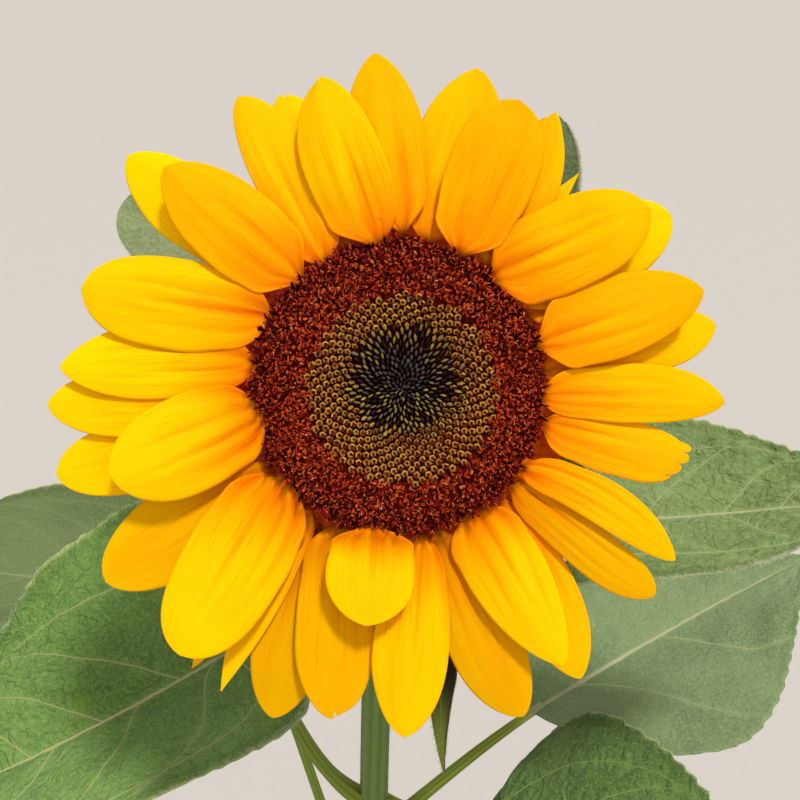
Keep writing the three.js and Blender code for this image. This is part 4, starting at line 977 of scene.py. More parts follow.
def ray_mesh(row, index):
    name, ba, br, ta, tr, width, level, rise, m, b0, k, p, q, bow, lop = row
    rng = np.random.default_rng(900 + index)
    base, along, across, L = ray_line(row)
    s0 = -(br - RAY_ROOT) / (float(np.dot(along, unit(base))) * L)
    nu, nt = 58, 31
    x = np.linspace(0, 1, nu)
    ss = s0 + (1 - s0) * (0.5 - 0.5 * np.cos(PI * x ** 0.92)) ** 0.9
    ts = np.linspace(-1, 1, nt)
    S, T = np.meshgrid(ss, ts, indexing="ij")
    sc = np.clip(S, 0, 1)
    end_w, teeth, depth = ENDS.get(name, (0.02, 2, 0.12 * rng.random()))
    g = np.where(S > 0.5, np.maximum(ray_share(row, S), end_w), ray_share(row, S))
    half = width / 2 * g * (1 + lop * np.sign(T))
    # slight unevenness of the outline
    wob = 0.018 * waves(rng, sc * 6, T * 0.8, 2.2, 5)
    half = half * (1 + wob * smooth(0.1, 0.4, sc))
    cross = 4 * bow * sc * (1 - sc) * L + T * half
    # the end is cut into small teeth
    if teeth == 3:
        lobes = (1.5 * (T + 1)) % 1.0
        notch = depth * (1 - np.sqrt(np.clip(4 * lobes * (1 - lobes), 0, 1))) + 3.6 * np.clip(-T - 0.2, 0, 1)
    else:
        t0 = rng.uniform(-0.25, 0.25)
        notch = depth * np.exp(-(((T - t0) / 0.3) ** 2)) + 0.4 * depth * T * rng.choice([-1, 1]) + (1.6 * T if name == "ray_03" else 0)
    along_mm = S * L - notch * smooth(0.90, 1.0, sc)
    px = base[0] + along[0] * along_mm + across[0] * cross
    py = base[1] + along[1] * along_mm + across[1] * cross
    r = np.hypot(px, py)
    w = dish(r) + level * RAY_STEP + (0.72 * rise if name == "ray_18" else rise) * np.maximum(0, r - RIM) / 50
    # creases, camber and unevenness
    folds = CREASES.get(name) or [(rng.uniform(-0.15, 0.15), rng.uniform(0.4, 0.8)), (rng.uniform(0.35, 0.6), rng.uniform(0.2, 0.5)), (rng.uniform(-0.6, -0.35), rng.uniform(0.2, 0.5))]
    open_ = smooth(0.02, 0.3, sc)
    crease = np.zeros_like(T)
    rel = np.zeros_like(T)
    for t0, dp in folds:
        bend = t0 * (1 + 0.25 * np.sin(2.2 * sc + t0 * 3))
        sig = 0.042 + 0.02 * rng.random()
        fade = (1 - 0.94 * smooth(0.35, 0.86, sc)) * smooth(0.0, 0.12, sc)
        line = np.exp(-(((T - bend) / sig) ** 2))
        soft = np.exp(-(((T - bend) / (sig * 3.6)) ** 2))
        rel = rel - 0.62 * dp * soft * fade - 0.34 * dp * line * fade
        # crease: darker orange along each fold, partly the fold's own colour and partly painted shade in the crease
        crease = crease + dp * (0.95 * line + 0.26 * soft) * fade * (0.65 + 0.35 * np.sin(5 * sc + 7 * t0)) * (0.85 + 0.7 * np.exp(-((sc / 0.28) ** 2)))
    rel = rel + 0.24 * waves(rng, sc * L, T * half, 0.22, 6) * open_ + 0.42 * waves(rng, sc * L, T * half, 0.11, 4) * open_ + 0.06 * np.cos(T * 17 + rng.uniform(0, 6)) * open_ * (1 - 0.8 * smooth(0.6, 0.95, sc))
    camber = rng.uniform(-0.15, -0.10) if level >= 1 else rng.uniform(-0.12, -0.03)
    rel = rel + camber * half * T ** 2 * open_
    if name in HANGS:
        rel = rel - abs(HANGS[name]) * smooth(0.25, 1.0, T * math.copysign(1, HANGS[name])) * open_
    # the shoulders beside the root stand up against the florets
    rel = rel + (0.9 if level >= 1 else 0.5) * np.exp(-(((sc - 0.06) / 0.07) ** 2)) * (0.35 + 0.65 * T ** 2) * smooth(-0.01, 0.03, S)
    tip_dip = rng.uniform(-1.1, 0.6)
    rel = rel + tip_dip * smooth(0.72, 1.0, sc)
    w = w + np.clip(rel, -3.4 if name in HANGS else -2.1, 1.5)
    # rays below the disc arch up beside it
    arch = 0.8 + 1.8 * smooth(0.2, -0.6, math.sin(math.radians(ta))) + (1.5 if name == "ray_18" else 0.0)
    w = w + arch * np.exp(-((sc / 0.2) ** 2)) * smooth(-0.02, 0.03, S) - 2.4 * smooth(-0.005, -0.05, S)
    # tone: 0 deep orange at the root, 1 yellow
    pat = sum(rng.uniform(0.4, 1) * np.cos(kk * PI * (T + rng.uniform(0, 2))) for kk in (1, 2, 3, 4)) / 2.4
    tone = 0.06 + 0.94 * smooth(-0.08, 0.58, sc + 0.12 * pat * (1 - sc)) ** 0.8 + 0.07 * waves(rng, sc * 5, T * 2, 1.5, 4)
    tone = tone + 0.16 * np.cos(PI * (T * 0.9 + rng.uniform(0, 2))) * smooth(0.05, 0.4, sc) * (1 - 0.5 * sc)
    # Painted light and shade: the half of each ray that faces up in the head's plane is painted lighter and the lower
    # half darker; the margins are also made a little darker.
    tone = tone - 0.10 * smooth(0.88, 1.0, np.abs(T)) * smooth(0.1, 0.5, sc) + 0.13 * T * across[1] * smooth(0.1, 0.5, sc)
    # Painted shade: the part of the root that sinks under the florets is made darker red.
    tone = tone - 0.3 * smooth(0.0, -0.03, S)
    pts = in_head(np.stack([px, py, w], -1))
    uv = np.stack([S.ravel() * L / 50, (T * (0.35 * half + 0.65 * width / 2)).ravel() / 20 + 0.5], -1)
    return name, pts, uv, tone, crease, 1 - 0.85 * smooth(0.55, 0.92, sc), nu, nt


for i, row in enumerate(RAYS):
    name, pts, uv, tone, crease, lined, nu, nt = ray_mesh(row, i)
    ang = math.radians(row[3])
    lemon = 0.42 - 0.26 * math.cos(ang) + 0.06 * math.sin(ang) + np.random.default_rng(70 + i).uniform(-0.12, 0.12)
    if math.sin(ang) > 0.1:
        lemon += -0.38 if row[6] >= 3 else 0.2 if row[6] <= 0 else 0.0
    lemon = float(np.clip(lemon + RAY_LEMON_AND_SHADE.get(name, 0.0), 0, 1.1))
    mat = ray_material(name + "_skin", float(lemon), i, RAY_SHADE_DIM.get(name, 1.0))
    faces = grid_faces(nu, nt)
    a = pts.reshape(-1, 3)[faces[len(faces) // 2]]
    if np.dot(np.cross(a[1] - a[0], a[3] - a[0]), HN) < 0:
        faces = faces[:, ::-1]
    make(name + "_petal", pts, [faces], [mat], uv=uv, values={"tone": tone.ravel(), "crease": np.clip(crease, 0, 1).ravel(), "lined": lined.ravel()}, slot="ray", thick=0.28, nodes=(name,))


# ------------------------------------------------------------------ head: disc
DISC = [(0, 5.6), (5, 6.0), (12, 7.0), (22, 8.6), (26, 9.3), (31, 9.7), (36, 9.0), (39, 7.6), (41, 6.2), (45, 4.0)]


def disc_w(r):
    return np.interp(r, [d[0] for d in DISC], [d[1] for d in DISC])


GOLDEN = PI * (3 - math.sqrt(5))
BUDS = 25.2
OUT = 38.8
MID = (1.4, -0.7)


def floret_places(r_from, r_to, c_in, c_out, r_ref):
    """Florets on a golden spiral whose spacing widens outwards: place across and up, distance and angle from its middle, spacing."""
    rr = np.linspace(0.001, 47, 6000)
    c = c_in + (c_out - c_in) * smooth(0, 1, np.clip(rr / r_ref, 0, 1))
    count = np.concatenate([[0], np.cumsum(2 * (rr[1:] + rr[:-1]) / 2 * np.diff(rr) / ((c[1:] + c[:-1]) / 2) ** 2)])
    k = np.arange(1, int(count[-1]))
    r = np.interp(k, count, rr)
    a = k * GOLDEN
    edge = r + 0.9 * np.sin(3 * a + 0.5) * 0.5 + np.random.default_rng(8).normal(0, 0.45, len(r))
    keep = (edge >= r_from) & (edge < r_to)
    r, a = r[keep], a[keep]
    return MID[0] + r * np.cos(a), MID[1] + r * np.sin(a), r, a, np.interp(r, rr, c)


def floret_axes(a, lean, rng, twist=None, sway=0.06):
    """Rows: local x (outward), y (round), z (the floret's own axis), in plant axes."""
    rad = np.cos(a)[:, None] * HU + np.sin(a)[:, None] * HV
    tang = -np.sin(a)[:, None] * HU + np.cos(a)[:, None] * HV
    z = unit(HN + rad * np.asarray(lean).reshape(-1, 1) + tang * rng.normal(0, sway, (len(a), 1)))
    x = unit(rad - z * np.sum(rad * z, -1, keepdims=True))
    y = np.cross(z, x)
    if twist is not None:
        c, s = np.cos(twist)[:, None], np.sin(twist)[:, None]
        x, y = x * c + y * s, y * c - x * s
    return np.stack([x, y, z], 1)


rng = np.random.default_rng(42)
# the dark bed that the florets stand in
bed_r = np.concatenate([np.linspace(0.01, 34.6, 56), [35.1, 35.5, 36.0, 37.4, 39.4, 39.5, 38.6, 36.2, 33.5, 33.4]])
bed_w = np.concatenate([disc_w(np.linspace(0.01, 34.6, 56)) - 1.5 + 0.5 * smooth(26, 21, np.linspace(0.01, 34.6, 56)), [6.8, 4.0, 1.2, 0.35, -0.7, -1.6, -2.2, -2.6, -3.4, -4.6]])
sides = 120
an = np.linspace(0, 2 * PI, sides, endpoint=False)
bed = np.stack([bed_r[:, None] * np.cos(an), bed_r[:, None] * np.sin(an), bed_w[:, None] + 0.15 * waves(rng, bed_r[:, None] * np.cos(an), bed_r[:, None] * np.sin(an), 1.6, 8)], -1)
bed_m, bed_nt, bed_b = new_material("disc_bed_skin", rough=0.9, spec=0.03)
bn = Net(bed_nt)
bed_tone = bn.noise(bn.place(), scale=700.0, detail=3.0)
bed_col = bn.ramp(bed_tone, [(0.35, linear(58, 7, 3)), (0.6, linear(92, 16, 5)), (0.75, linear(120, 32, 8))])
bn.link(bn.mix(bn.math("MULTIPLY", bn.value("inner"), 0.4), bed_col, linear(30, 10, 5)), bed_b.inputs["Base Color"])
bn.link(bn.bump(bn.noise(bn.place(), scale=900.0, detail=2.0), 0.6, 0.0005), bed_b.inputs["Normal"])
make("disc_bed", in_head(bed), [grid_faces(len(bed_r), sides, True)[:, ::-1]], [bed_m], values={"inner": np.repeat(smooth(25.5, 22.5, bed_r), sides)}, slot="disc", nodes=("disc",))

# the joined roots of the rays under everything
rr_ = np.array([34.5, 37.0, 40.0, 43.0, 46.0, 47.5, 47.6, 44.0, 39.0])
ww_ = np.array([-3.1, -3.2, -3.35, -3.6, -4.0, -4.3, -4.6, -4.3, -4.4])
wave_ = 0.45 * np.cos(an * 34)[None, :] * smooth(38, 47, rr_)[:, None]
root = np.stack([(rr_[:, None] + 1.6 * np.cos(an * 17 + 1)[None, :] * smooth(43, 47, rr_)[:, None]) * np.cos(an), (rr_[:, None] + 1.6 * np.cos(an * 17 + 1)[None, :] * smooth(43, 47, rr_)[:, None]) * np.sin(an), ww_[:, None] + wave_], -1)
root_m, root_nt, root_b = new_material("ray_root_skin", rough=0.7, spec=0.03)
wn = Net(root_nt)
wn.link(wn.ramp(wn.noise(wn.place(), scale=420.0, detail=2.0), [(0.3, linear(200, 62, 8)), (0.6, linear(238, 116, 8)), (0.8, linear(250, 150, 8))]), root_b.inputs["Base Color"])
make("ray_roots", in_head(root), [grid_faces(len(rr_), sides, True)[:, ::-1]], [root_m], slot="ray")

# closed buds: five-sided cups further out, whose rims carry painted light on the side turned up and left and painted
# shade on the side turned down, slim dark points with pale ends in the middle
x0, y0, r, a, c = floret_places(-9.0, BUDS, 0.62, 1.13, 22.0)
n = len(r)
pitch = c * math.sqrt(PI)
# the zones of the buds lie round a point a little above the middle of the spiral
high = np.hypot(x0 - MID[0], y0 - MID[1] - 4.0 * (1 - (r / BUDS) ** 2))
rho = np.clip(high / BUDS + rng.normal(0, 0.04, n), 0, 1)
cup = smooth(0.44, 0.74, rho)
dash = (1 - cup) * smooth(0.16, 0.34, rho)
k = 5
ang5 = np.arange(k) * 2 * PI / k
lean = -0.85 * (1 - r / BUDS) ** 1.1 + 0.04
twist = rng.normal(0, 0.22, n)
ax = floret_axes(a, lean, rng, twist=twist)
place = in_head(np.stack([x0, y0, disc_w(r)], -1))
rise = rng.normal(0, 0.14, n) + 0.1 * rho
cups = [(0.54, -1.7), (0.53, -0.36), (0.46, 0.10), (0.25, 0.24), (0.17, 0.06)]
points = [(0.46, -1.3), (0.43, 0.1), (0.35, 0.70), (0.24, 1.12), (0.11, 1.36)]
shape = np.zeros((n, len(cups) * k + 1, 3))
squeeze = 1 + rng.normal(0, 0.08, (n, k))
for j in range(len(cups)):
    rf = cups[j][0] * cup + points[j][0] * (1 - cup)
    zf = cups[j][1] * cup + points[j][1] * (1 - cup)
    rr = pitch[:, None] * rf[:, None] * squeeze
    shape[:, j * k:(j + 1) * k, 0] = rr * np.cos(ang5) * (1 + (0.35 + 0.25 * j) * (1 - cup[:, None])) + 0.14 * j * (1 - cup[:, None])
    shape[:, j * k:(j + 1) * k, 0] = shape[:, j * k:(j + 1) * k, 0] * (1 + 0.06 * dash[:, None]) - (0.03 * pitch * cup)[:, None] * (j >= 3)
    shape[:, j * k:(j + 1) * k, 1] = rr * np.sin(ang5) * (1 - 0.34 * dash[:, None])
    tilt = 0.24 * np.cos(ang5) * cup[:, None] * (j in (2, 3))
    shape[:, j * k:(j + 1) * k, 2] = zf[:, None] + rise[:, None] * (j > 0) + tilt + rng.normal(0, 0.05, (n, k)) * (j in (2, 3))
shape[:, -1, 2] = -0.12 * cup + 1.4 * (1 - cup) + rise
V = copies(shape, place, ax)
per = shape.shape[1]
quads, qslots, tris, tslots = [], [], [], []
zone = np.clip(np.digitize(rho, [0.13, 0.28, 0.44, 0.60, 0.80]), 0, 5)
dice = rng.random(n)
wall_slot = np.where(rho > 0.5, 7, 6)
low_slot = np.where(cup > 0.5, zone, np.where(dice < 0.5, 6, 10))
end_slot = np.where((cup < 0.5) & (dice < 0.22), 10, np.clip(zone - (rng.random(n) < 0.3), 0, 5))
green = (rho > 0.20) & (rho < 0.70) & (rng.random(n) < 0.10 + 0.60 * smooth(4.0, -4.0, y0 - MID[1]))
end_slot = np.where(green & (end_slot != 10), np.where(rng.random(n) < 0.5, 12, 13), end_slot)
mouth_slot = np.where(cup > 0.5, np.where(dice < 0.62, 8, 9), end_slot)
for j in range(len(cups) - 1):
    q = np.stack([j * k + np.arange(k), j * k + (np.arange(k) + 1) % k, (j + 1) * k + (np.arange(k) + 1) % k, (j + 1) * k + np.arange(k)], -1)
    quads.append((np.arange(n)[:, None, None] * per + q).reshape(-1, 4))
    slots = np.repeat((wall_slot, low_slot, end_slot, mouth_slot)[j], k)
    # Painted light and shade on the lips of the cups: faces turned up and to the left get the lit colours (bud_lit,
    # bud_4), faces turned down and to the right get bud_mouth on the upper band and bud_shade below, and a few other
    # faces get bud_shade at random.
    if j in (1, 2):
        facing = (a[:, None] + twist[:, None] + ang5 + PI / 5 - math.radians(-68)).ravel()
        shade_side, lit_side = np.cos(facing) > 0.62, np.cos(facing) < -0.1
        dice5, cupped = rng.random(n * k), np.repeat(cup, k) > 0.3
        slots = np.where(cupped & lit_side & (dice5 < 0.55), np.where(rng.random(n * k) < 0.6, 14, 4), slots)
        slots = np.where(cupped & shade_side & (dice5 < 0.80), 8 if j == 2 else 11, slots)
        slots = np.where(cupped & ~shade_side & (dice5 > 0.88), 11, slots)
    qslots.append(slots)
t = np.stack([(len(cups) - 1) * k + np.arange(k), (len(cups) - 1) * k + (np.arange(k) + 1) % k, np.full(k, per - 1)], -1)
tris.append((np.arange(n)[:, None, None] * per + t).reshape(-1, 3))
tslots.append(np.repeat(mouth_slot, k))
bud_mats = [
    plain("bud_0", (58, 53, 56), 0.5, 0.2), plain("bud_1", (82, 75, 72), 0.5, 0.2), plain("bud_2", (110, 98, 72), 0.5, 0.2),
    plain("bud_3", (138, 112, 48), 0.5, 0.12), plain("bud_4", (152, 108, 38), 0.5, 0.12), plain("bud_5", (162, 106, 34), 0.5, 0.12),
    plain("bud_wall", (26, 10, 6), 0.7, 0.05), plain("bud_wall_red", (44, 9, 4), 0.7, 0.05), plain("bud_mouth", (84, 32, 11), 0.6, 0.05), plain("bud_mouth_dark", (58, 16, 7), 0.6, 0.05),
    plain("bud_dark", (40, 26, 18), 0.5, 0.15), plain("bud_shade", (124, 64, 22), 0.6, 0.08),
    plain("bud_green", (118, 112, 46), 0.5, 0.12), plain("bud_green_light", (152, 134, 54), 0.5, 0.12), plain("bud_lit", (186, 132, 50), 0.5, 0.12),
]
make("disc_buds", V.reshape(-1, 3), [np.concatenate(quads), np.concatenate(tris)], bud_mats, slots=[np.concatenate(qslots), np.concatenate(tslots)], slot="disc", smooth_faces=False)

# open florets: five curled lobes round a dark tube of anthers, some with a forked style
flor = Bag()
x0, y0, r, a, c = floret_places(BUDS - 0.6, 48.0, 0.64, 1.20, 22.0)
rh = np.hypot(x0, y0)
keep = (rh < OUT) & ~((rh > 34.5) & under_rays(x0 * 1.02, y0 * 1.02, inset=-0.1))
x0, y0, rh = x0[keep], y0[keep], rh[keep]
a = np.arctan2(y0, x0)
n = len(rh)
edge_part = smooth(34.0, 38.5, rh)
lean = 0.04 + 0.62 * smooth(27, 41, rh)
ax = floret_axes(a, lean + rng.normal(0, 0.16, n), rng, twist=rng.uniform(0, 2 * PI, n), sway=0.16)
place = in_head(np.stack([x0, y0, disc_w(rh)], -1)) + rng.normal(0, 0.22, (n, 3))
tall = rng.uniform(-0.7, 0.8, n)


def ribbon(bag, rows, place, ax, slots):
    """Flat strips through rows of (x, y, z, half width across x, across y), one strip for each place."""
    pts = []
    for px, py, pz, wx, wy in rows:
        for sgn in (-1, 1):
            pts.append(np.stack([px + sgn * wx, py + sgn * wy, pz], -1))
    shape = np.stack(pts, 1)
    V = copies(shape, place, ax).reshape(-1, 3)
    b = np.arange(len(place))[:, None] * len(pts)
    q = np.concatenate([b + [2 * i, 2 * i + 1, 2 * i + 3, 2 * i + 2] for i in range(len(rows) - 1)])
    bag.add(V, quads=q, quad_slots=np.tile(slots, len(rows) - 1))


for j in range(6):
    aa = j * 2 * PI / 6 + rng.normal(0, 0.3, n)
    ln = rng.uniform(0.9, 1.75, n)
    wd = rng.uniform(0.16, 0.30, n)
    up = rng.uniform(0.3, 1.5, n)
    curl = rng.normal(0, 0.9, n)
    rows = []
    for f, wf in ((0.0, 0.9), (0.35, 1.1), (0.7, 0.9), (1.0, 0.25)):
        ang_ = aa + curl * f
        rad = 0.36 + ln * f * (1 - 0.25 * f)
        z = tall - 0.35 + up * math.sin(f * 2.2) - 0.25 * f
        px, py = np.cos(ang_) * rad, np.sin(ang_) * rad
        rows.append((px, py, z, -np.sin(ang_) * wd * wf, np.cos(ang_) * wd * wf))
    pick = rng.choice([0, 1, 2, 3, 4, 9], n, p=[0.26, 0.25, 0.15, 0.06, 0.14, 0.14])
    pick = np.where(rng.random(n) < edge_part * 0.45, rng.choice([4, 9, 5], n), pick)
    ribbon(flor, rows, place, ax, pick)
# anther tubes
k = 5
an5 = np.arange(k) * 2 * PI / k
h = rng.uniform(0.5, 1.7, n) + 0.9 * edge_part * rng.random(n)
low = -1.2 - 5.0 * smooth(33.5, 36, rh)
rings = [(0.40, None), (0.38, 0.0), (0.34, 1.0), (0.13, 0.72)]
pts = []
for rf, zf in rings:
    z = low if zf is None else tall + zf * h
    pts.append(np.stack([rf * np.cos(an5)[None, :] * np.ones((n, 1)), rf * np.sin(an5)[None, :] * np.ones((n, 1)), z[:, None] + rng.normal(0, 0.12, (n, k)) * (zf == 1.0)], -1))
shape = np.concatenate(pts, 1)
V = copies(shape, place, ax).reshape(-1, 3)
per = len(rings) * k
quads = np.concatenate([(np.arange(n)[:, None, None] * per + np.stack([j * k + np.arange(k), j * k + (np.arange(k) + 1) % k, (j + 1) * k + (np.arange(k) + 1) % k, (j + 1) * k + np.arange(k)], -1)).reshape(-1, 4) for j in range(len(rings) - 1)])
pick = rng.choice([5, 6, 7], n, p=[0.42, 0.28, 0.30])
tri = (np.arange(n)[:, None, None] * per + 3 * k + np.array([[0, 1, 2], [0, 2, 3], [0, 3, 4]])).reshape(-1, 3)
flor.add(V, quads=quads, tris=tri, quad_slots=np.concatenate([np.repeat(pick, k), np.repeat(pick, k), np.repeat(np.where(rng.random(n) < 0.5, 6, 9), k)]), tri_slots=np.repeat(np.full(n, 6), 3))
# forked styles
some = np.where(rng.random(n) < 0.6)[0]
for sgn in (-1, 1):
    m_ = len(some)
    reach, drop = rng.uniform(0.6, 1.4, m_), rng.uniform(0.1, 0.8, m_)
    turn = rng.uniform(0, 2 * PI, m_)
    base_h = (tall + h * 1.0)[some]
    wd = rng.uniform(0.08, 0.14, m_)
    rows = []
    for f in np.linspace(0, 1, 5):
        x = sgn * reach * math.sin(f * PI * 0.62)
        z = base_h + 0.65 * math.sin(f * PI) - drop * f * f
        rows.append((x * np.cos(turn), x * np.sin(turn), z, -np.sin(turn) * wd * (1 - 0.5 * f), np.cos(turn) * wd * (1 - 0.5 * f)))
    ribbon(flor, rows, place[some], ax[some], rng.choice([1, 2, 8, 5], m_, p=[0.25, 0.2, 0.3, 0.25]))
# dark columns of anthers that stand out of the ring, each hooked at its end
some = np.where((rh > 26.5) & (rng.random(n) < 0.40 + 0.14 * smooth(30, 38, rh)))[0]
m_ = len(some)
k = 6
an6 = np.arange(k) * 2 * PI / k
ln, rad_, hook, turn = rng.uniform(1.3, 2.9, m_) * (1 - 0.35 * smooth(35, 39, rh[some])), rng.uniform(0.22, 0.34, m_), rng.uniform(0.3, 1.3, m_), rng.uniform(0, 2 * PI, m_)
pts = []
for f, wf in ((-0.3, 1.0), (0.25, 1.05), (0.6, 0.95), (0.85, 0.9), (1.0, 0.5)):
    off = hook * max(f, 0) ** 2
    cx, cy, cz = off * np.cos(turn), off * np.sin(turn), ln * (f - 0.16 * max(f, 0) ** 4)
    pts.append(np.stack([cx[:, None] + rad_[:, None] * wf * np.cos(an6), cy[:, None] + rad_[:, None] * wf * np.sin(an6), cz[:, None] + 0 * an6[None, :]], -1))
shape = np.concatenate(pts, 1)
outer = floret_axes(np.arctan2(y0, x0)[some], 0.15 + 0.8 * smooth(30, 41, rh[some]) + rng.normal(0, 0.15, m_), rng, sway=0.25)
V = copies(shape, place[some] + HN * 0.6, outer).reshape(-1, 3)
per = 5 * k
quads = np.concatenate([(np.arange(m_)[:, None, None] * per + np.stack([j * k + np.arange(k), j * k + (np.arange(k) + 1) % k, (j + 1) * k + (np.arange(k) + 1) % k, (j + 1) * k + np.arange(k)], -1)).reshape(-1, 4) for j in range(4)])
tri = (np.arange(m_)[:, None, None] * per + 4 * k + np.array([[0, 1, 2], [0, 2, 3], [0, 3, 4], [0, 4, 5]])).reshape(-1, 3)
dark = rng.choice([10, 11, 5], m_, p=[0.55, 0.30, 0.15])
flor.add(V, quads=quads, tris=tri, quad_slots=np.tile(np.repeat(dark, k), 4), tri_slots=np.repeat(np.where(rng.random(m_) < 0.35, 9, dark), 4))
# short dark styles that curl out at the roots of the rays
m_ = 360
a = rng.uniform(0, 2 * PI, m_)
rh = rng.uniform(35.8, 38.9, m_)
free = ~under_rays((rh + 1.3) * np.cos(a), (rh + 1.3) * np.sin(a), inset=0.6)
a, rh = a[free], rh[free]
m_ = len(a)
ax = floret_axes(a, rng.uniform(0.2, 0.8, m_), rng, sway=0.3)
place = in_head(np.stack([rh * np.cos(a), rh * np.sin(a), disc_w(rh) - rng.uniform(0.0, 1.2, m_)], -1))
ln, bend, wd = rng.uniform(0.8, 1.9, m_), rng.normal(0, 1.0, m_), rng.uniform(0.22, 0.38, m_)
rows = []
for f in np.linspace(0, 1, 6):
    turn = bend * f
    rows.append((0.35 * ln * f * f * np.cos(turn), ln * f * np.sin(turn) * 0.6, -1.0 + (ln + 1.0) * f, 0 * ln, wd * (1.1 - 0.5 * f)))
ribbon(flor, rows, place, ax, rng.choice([5, 6, 7, 9, 1], m_, p=[0.34, 0.3, 0.14, 0.12, 0.10]))
# dark pointed chunks of young florets in the gaps between the rays
a = np.linspace(0, 2 * PI, 720, endpoint=False)
free = ~under_rays(41.4 * np.cos(a), 41.4 * np.sin(a), inset=-0.1)
a = a[free & (rng.random(len(a)) < 0.42)]
m_ = len(a)
rh = rng.uniform(36.6, 39.0, m_)
ax = floret_axes(a, rng.uniform(0.9, 2.0, m_), rng, sway=0.25)
place = in_head(np.stack([rh * np.cos(a), rh * np.sin(a), rng.uniform(4.6, 7.0, m_)], -1))
ln, wd = rng.uniform(1.5, 2.9, m_), rng.uniform(0.55, 1.0, m_)
pts = [np.stack([0 * ln, s_ * wd * wf, ln * lf_], -1) for lf_, wf in ((-0.8, 0.8), (0.35, 1.0), (0.75, 0.55)) for s_ in (-1, 1)] + [np.stack([0.2 * ln, 0 * ln, ln * 1.0], -1), np.stack([-0.5 * wd, 0 * ln, ln * 0.3], -1)]
V = copies(np.stack(pts, 1), place, ax).reshape(-1, 3)
b = np.arange(m_)[:, None] * 8
flor.add(V, quads=np.concatenate([b + [0, 1, 3, 2], b + [2, 3, 5, 4]]), tris=np.concatenate([b + [4, 5, 6], b + [2, 7, 4], b + [7, 5, 4], b + [3, 5, 7], b + [4, 7, 6]]),
         quad_slots=np.tile(rng.choice([5, 6, 7, 4], m_, p=[0.35, 0.2, 0.3, 0.15]), 2), tri_slots=np.tile(rng.choice([5, 6, 7, 4], m_, p=[0.35, 0.2, 0.3, 0.15]), 5))
# short dark-red threads between the rays' roots
a = rng.uniform(0, 2 * PI, 70)
rh = rng.uniform(38.0, 39.4, 70)
free = ~under_rays((rh + 1.8) * np.cos(a), (rh + 1.8) * np.sin(a), inset=-0.5) & ~under_rays(rh * np.cos(a), rh * np.sin(a), inset=-0.2)
a, rh = a[free], rh[free]
m_ = len(a)
ax = floret_axes(a, rng.uniform(2.2, 4.0, m_), rng, sway=0.5)
place = in_head(np.stack([rh * np.cos(a), rh * np.sin(a), rng.uniform(4.2, 6.4, m_)], -1))
ln, wd = rng.uniform(1.4, 3.0, m_), rng.uniform(0.08, 0.14, m_)
rows = [(0 * ln, 0.5 * np.sin(3 * f) * ln * 0.25, ln * f, 0 * ln, wd * (1.1 - 0.8 * f)) for f in np.linspace(0, 1, 5)]
ribbon(flor, rows, place, ax, rng.choice([1, 4, 7], m_))
flor_mats = [
    plain("lobe_0", (198, 80, 29), 0.6, 0.06), plain("lobe_1", (186, 62, 23), 0.6, 0.06), plain("lobe_2", (198, 92, 34), 0.6, 0.06), plain("lobe_3", (206, 122, 66), 0.6, 0.06),
    plain("lobe_4", (160, 40, 17), 0.6, 0.06), plain("anther_0", (100, 15, 9), 0.6, 0.06), plain("anther_1", (52, 9, 8), 0.6, 0.06), plain("anther_2", (126, 26, 13), 0.6, 0.06),
    plain("style_0", (192, 60, 18), 0.5, 0.1), plain("lobe_5", (146, 38, 10), 0.6, 0.08),
    plain("anther_3", (36, 7, 7), 0.6, 0.05), plain("anther_4", (58, 10, 10), 0.6, 0.05),
]
flor.make("disc_florets", flor_mats, slot="disc", smooth_faces=False)


# ------------------------------------------------------------------ head: back, with its bracts
back_green = leaf_material("receptacle_green", linear(92, 120, 58), linear(128, 152, 84), 8)
prof = np.array([(7.6, -25.2), (9, -24.6), (12, -22.8), (18, -20.2), (24, -17.2), (29, -14.4), (33, -11.6), (36, -8.6), (36.6, -6.2), (35.5, -5.0), (30, -4.9)])
f = np.linspace(0, len(prof) - 1, 60)
pr, pw = np.interp(f, np.arange(len(prof)), prof[:, 0]), np.interp(f, np.arange(len(prof)), prof[:, 1])
sides = 110
an = np.linspace(0, 2 * PI, sides, endpoint=False)
lump = 0.35 * np.cos(an * 21)[None, :] * smooth(10, 34, pr)[:, None] + 0.3 * waves(np.random.default_rng(5), pr[:, None] * np.cos(an), pr[:, None] * np.sin(an), 0.5, 6)
rr = pr[:, None] + lump
body = np.stack([rr * np.cos(an), rr * np.sin(an), pw[:, None] * np.ones(sides)], -1)
nb = len(f) * sides
make("receptacle_body", in_head(body), [grid_faces(len(f), sides, True)], [back_green], values={"vein": np.full(nb, 0.2), "edge": np.zeros(nb)}, slot="bract", nodes=("receptacle",))

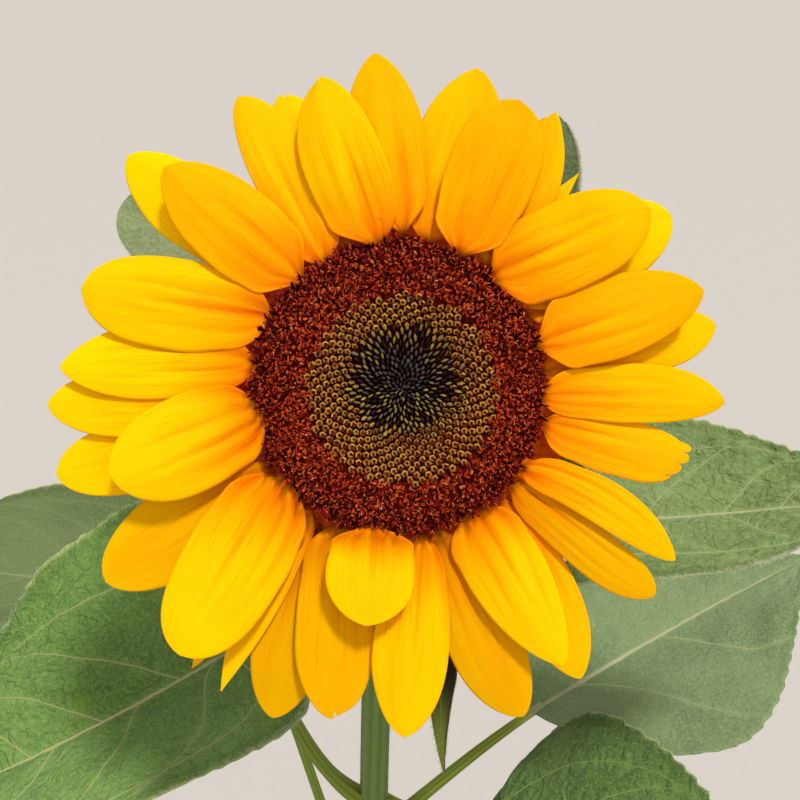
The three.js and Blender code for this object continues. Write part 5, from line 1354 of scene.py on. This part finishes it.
bracts, bract_near, bract_edge = Bag(), [], []
rb = np.random.default_rng(61)
hair_b = Bag()
for row_i, (count, start, length, width, w0, drop) in enumerate([(18, 30.5, 28, 13.0, -9.6, 5.0), (17, 28.0, 24, 12.5, -12.4, 6.0), (13, 23.0, 20, 10.0, -16.0, 6.5)]):
    for kk in range(count):
        a0 = 2 * PI * (kk + 0.5 * (row_i % 2)) / count + rb.normal(0, 0.04)
        ln, wd = length * rb.uniform(0.85, 1.1), width * rb.uniform(0.85, 1.1)
        U2, T2 = np.meshgrid(np.linspace(0, 1, 22), np.linspace(-1, 1, 11), indexing="ij")
        half = wd / 2 * np.maximum(0.02, (0.72 + 0.28 * np.sin(PI * np.minimum(1, U2 * 1.7))) * (1 - U2 ** 1.9) ** 0.9)
        rad = start + ln * U2 * (1 - 0.06 * U2)
        w = w0 + 2.4 * np.sin(PI * U2 * 0.6) - drop * U2 ** 2.2 * rb.uniform(0.6, 1.3) + 0.10 * half * (T2 ** 2) * 2 - 0.5 * np.exp(-((T2 / 0.14) ** 2)) * -1.0
        sd = T2 * half + rb.normal(0, 0.8) * U2 ** 2
        p = np.stack([rad * math.cos(a0) - sd * math.sin(a0), rad * math.sin(a0) + sd * math.cos(a0), w], -1)
        P = in_head(p)
        bracts.add(P, quads=grid_faces(22, 11))
        bract_near.append(np.exp(-((T2 / 0.10) ** 2)).ravel() * 0.8)
        bract_edge.append(smooth(0.9, 1, np.abs(T2)).ravel())
        m_ = 26
        uu, ss_ = rb.uniform(0.05, 1, m_), rb.choice([-1, 1], m_)
        i0 = (uu * 21).astype(int)
        roots = P[i0, np.where(ss_ > 0, 10, 0)]
        inner = P[i0, np.where(ss_ > 0, 8, 2)]
        add_hairs(hair_b, roots, unit(roots - inner) - HN * 0.3, rb.uniform(0.8, 1.9, m_), 0.045, rb)
bracts.make("receptacle_bracts", [back_green], values={"vein": np.concatenate(bract_near), "edge": np.concatenate(bract_edge)}, slot="bract", thick=0.7)
hair_b.make("bract_hairs", [plain("bract_hair_white", (208, 214, 188), rough=0.5, spec=0.3)], slot="bract", smooth_faces=False)
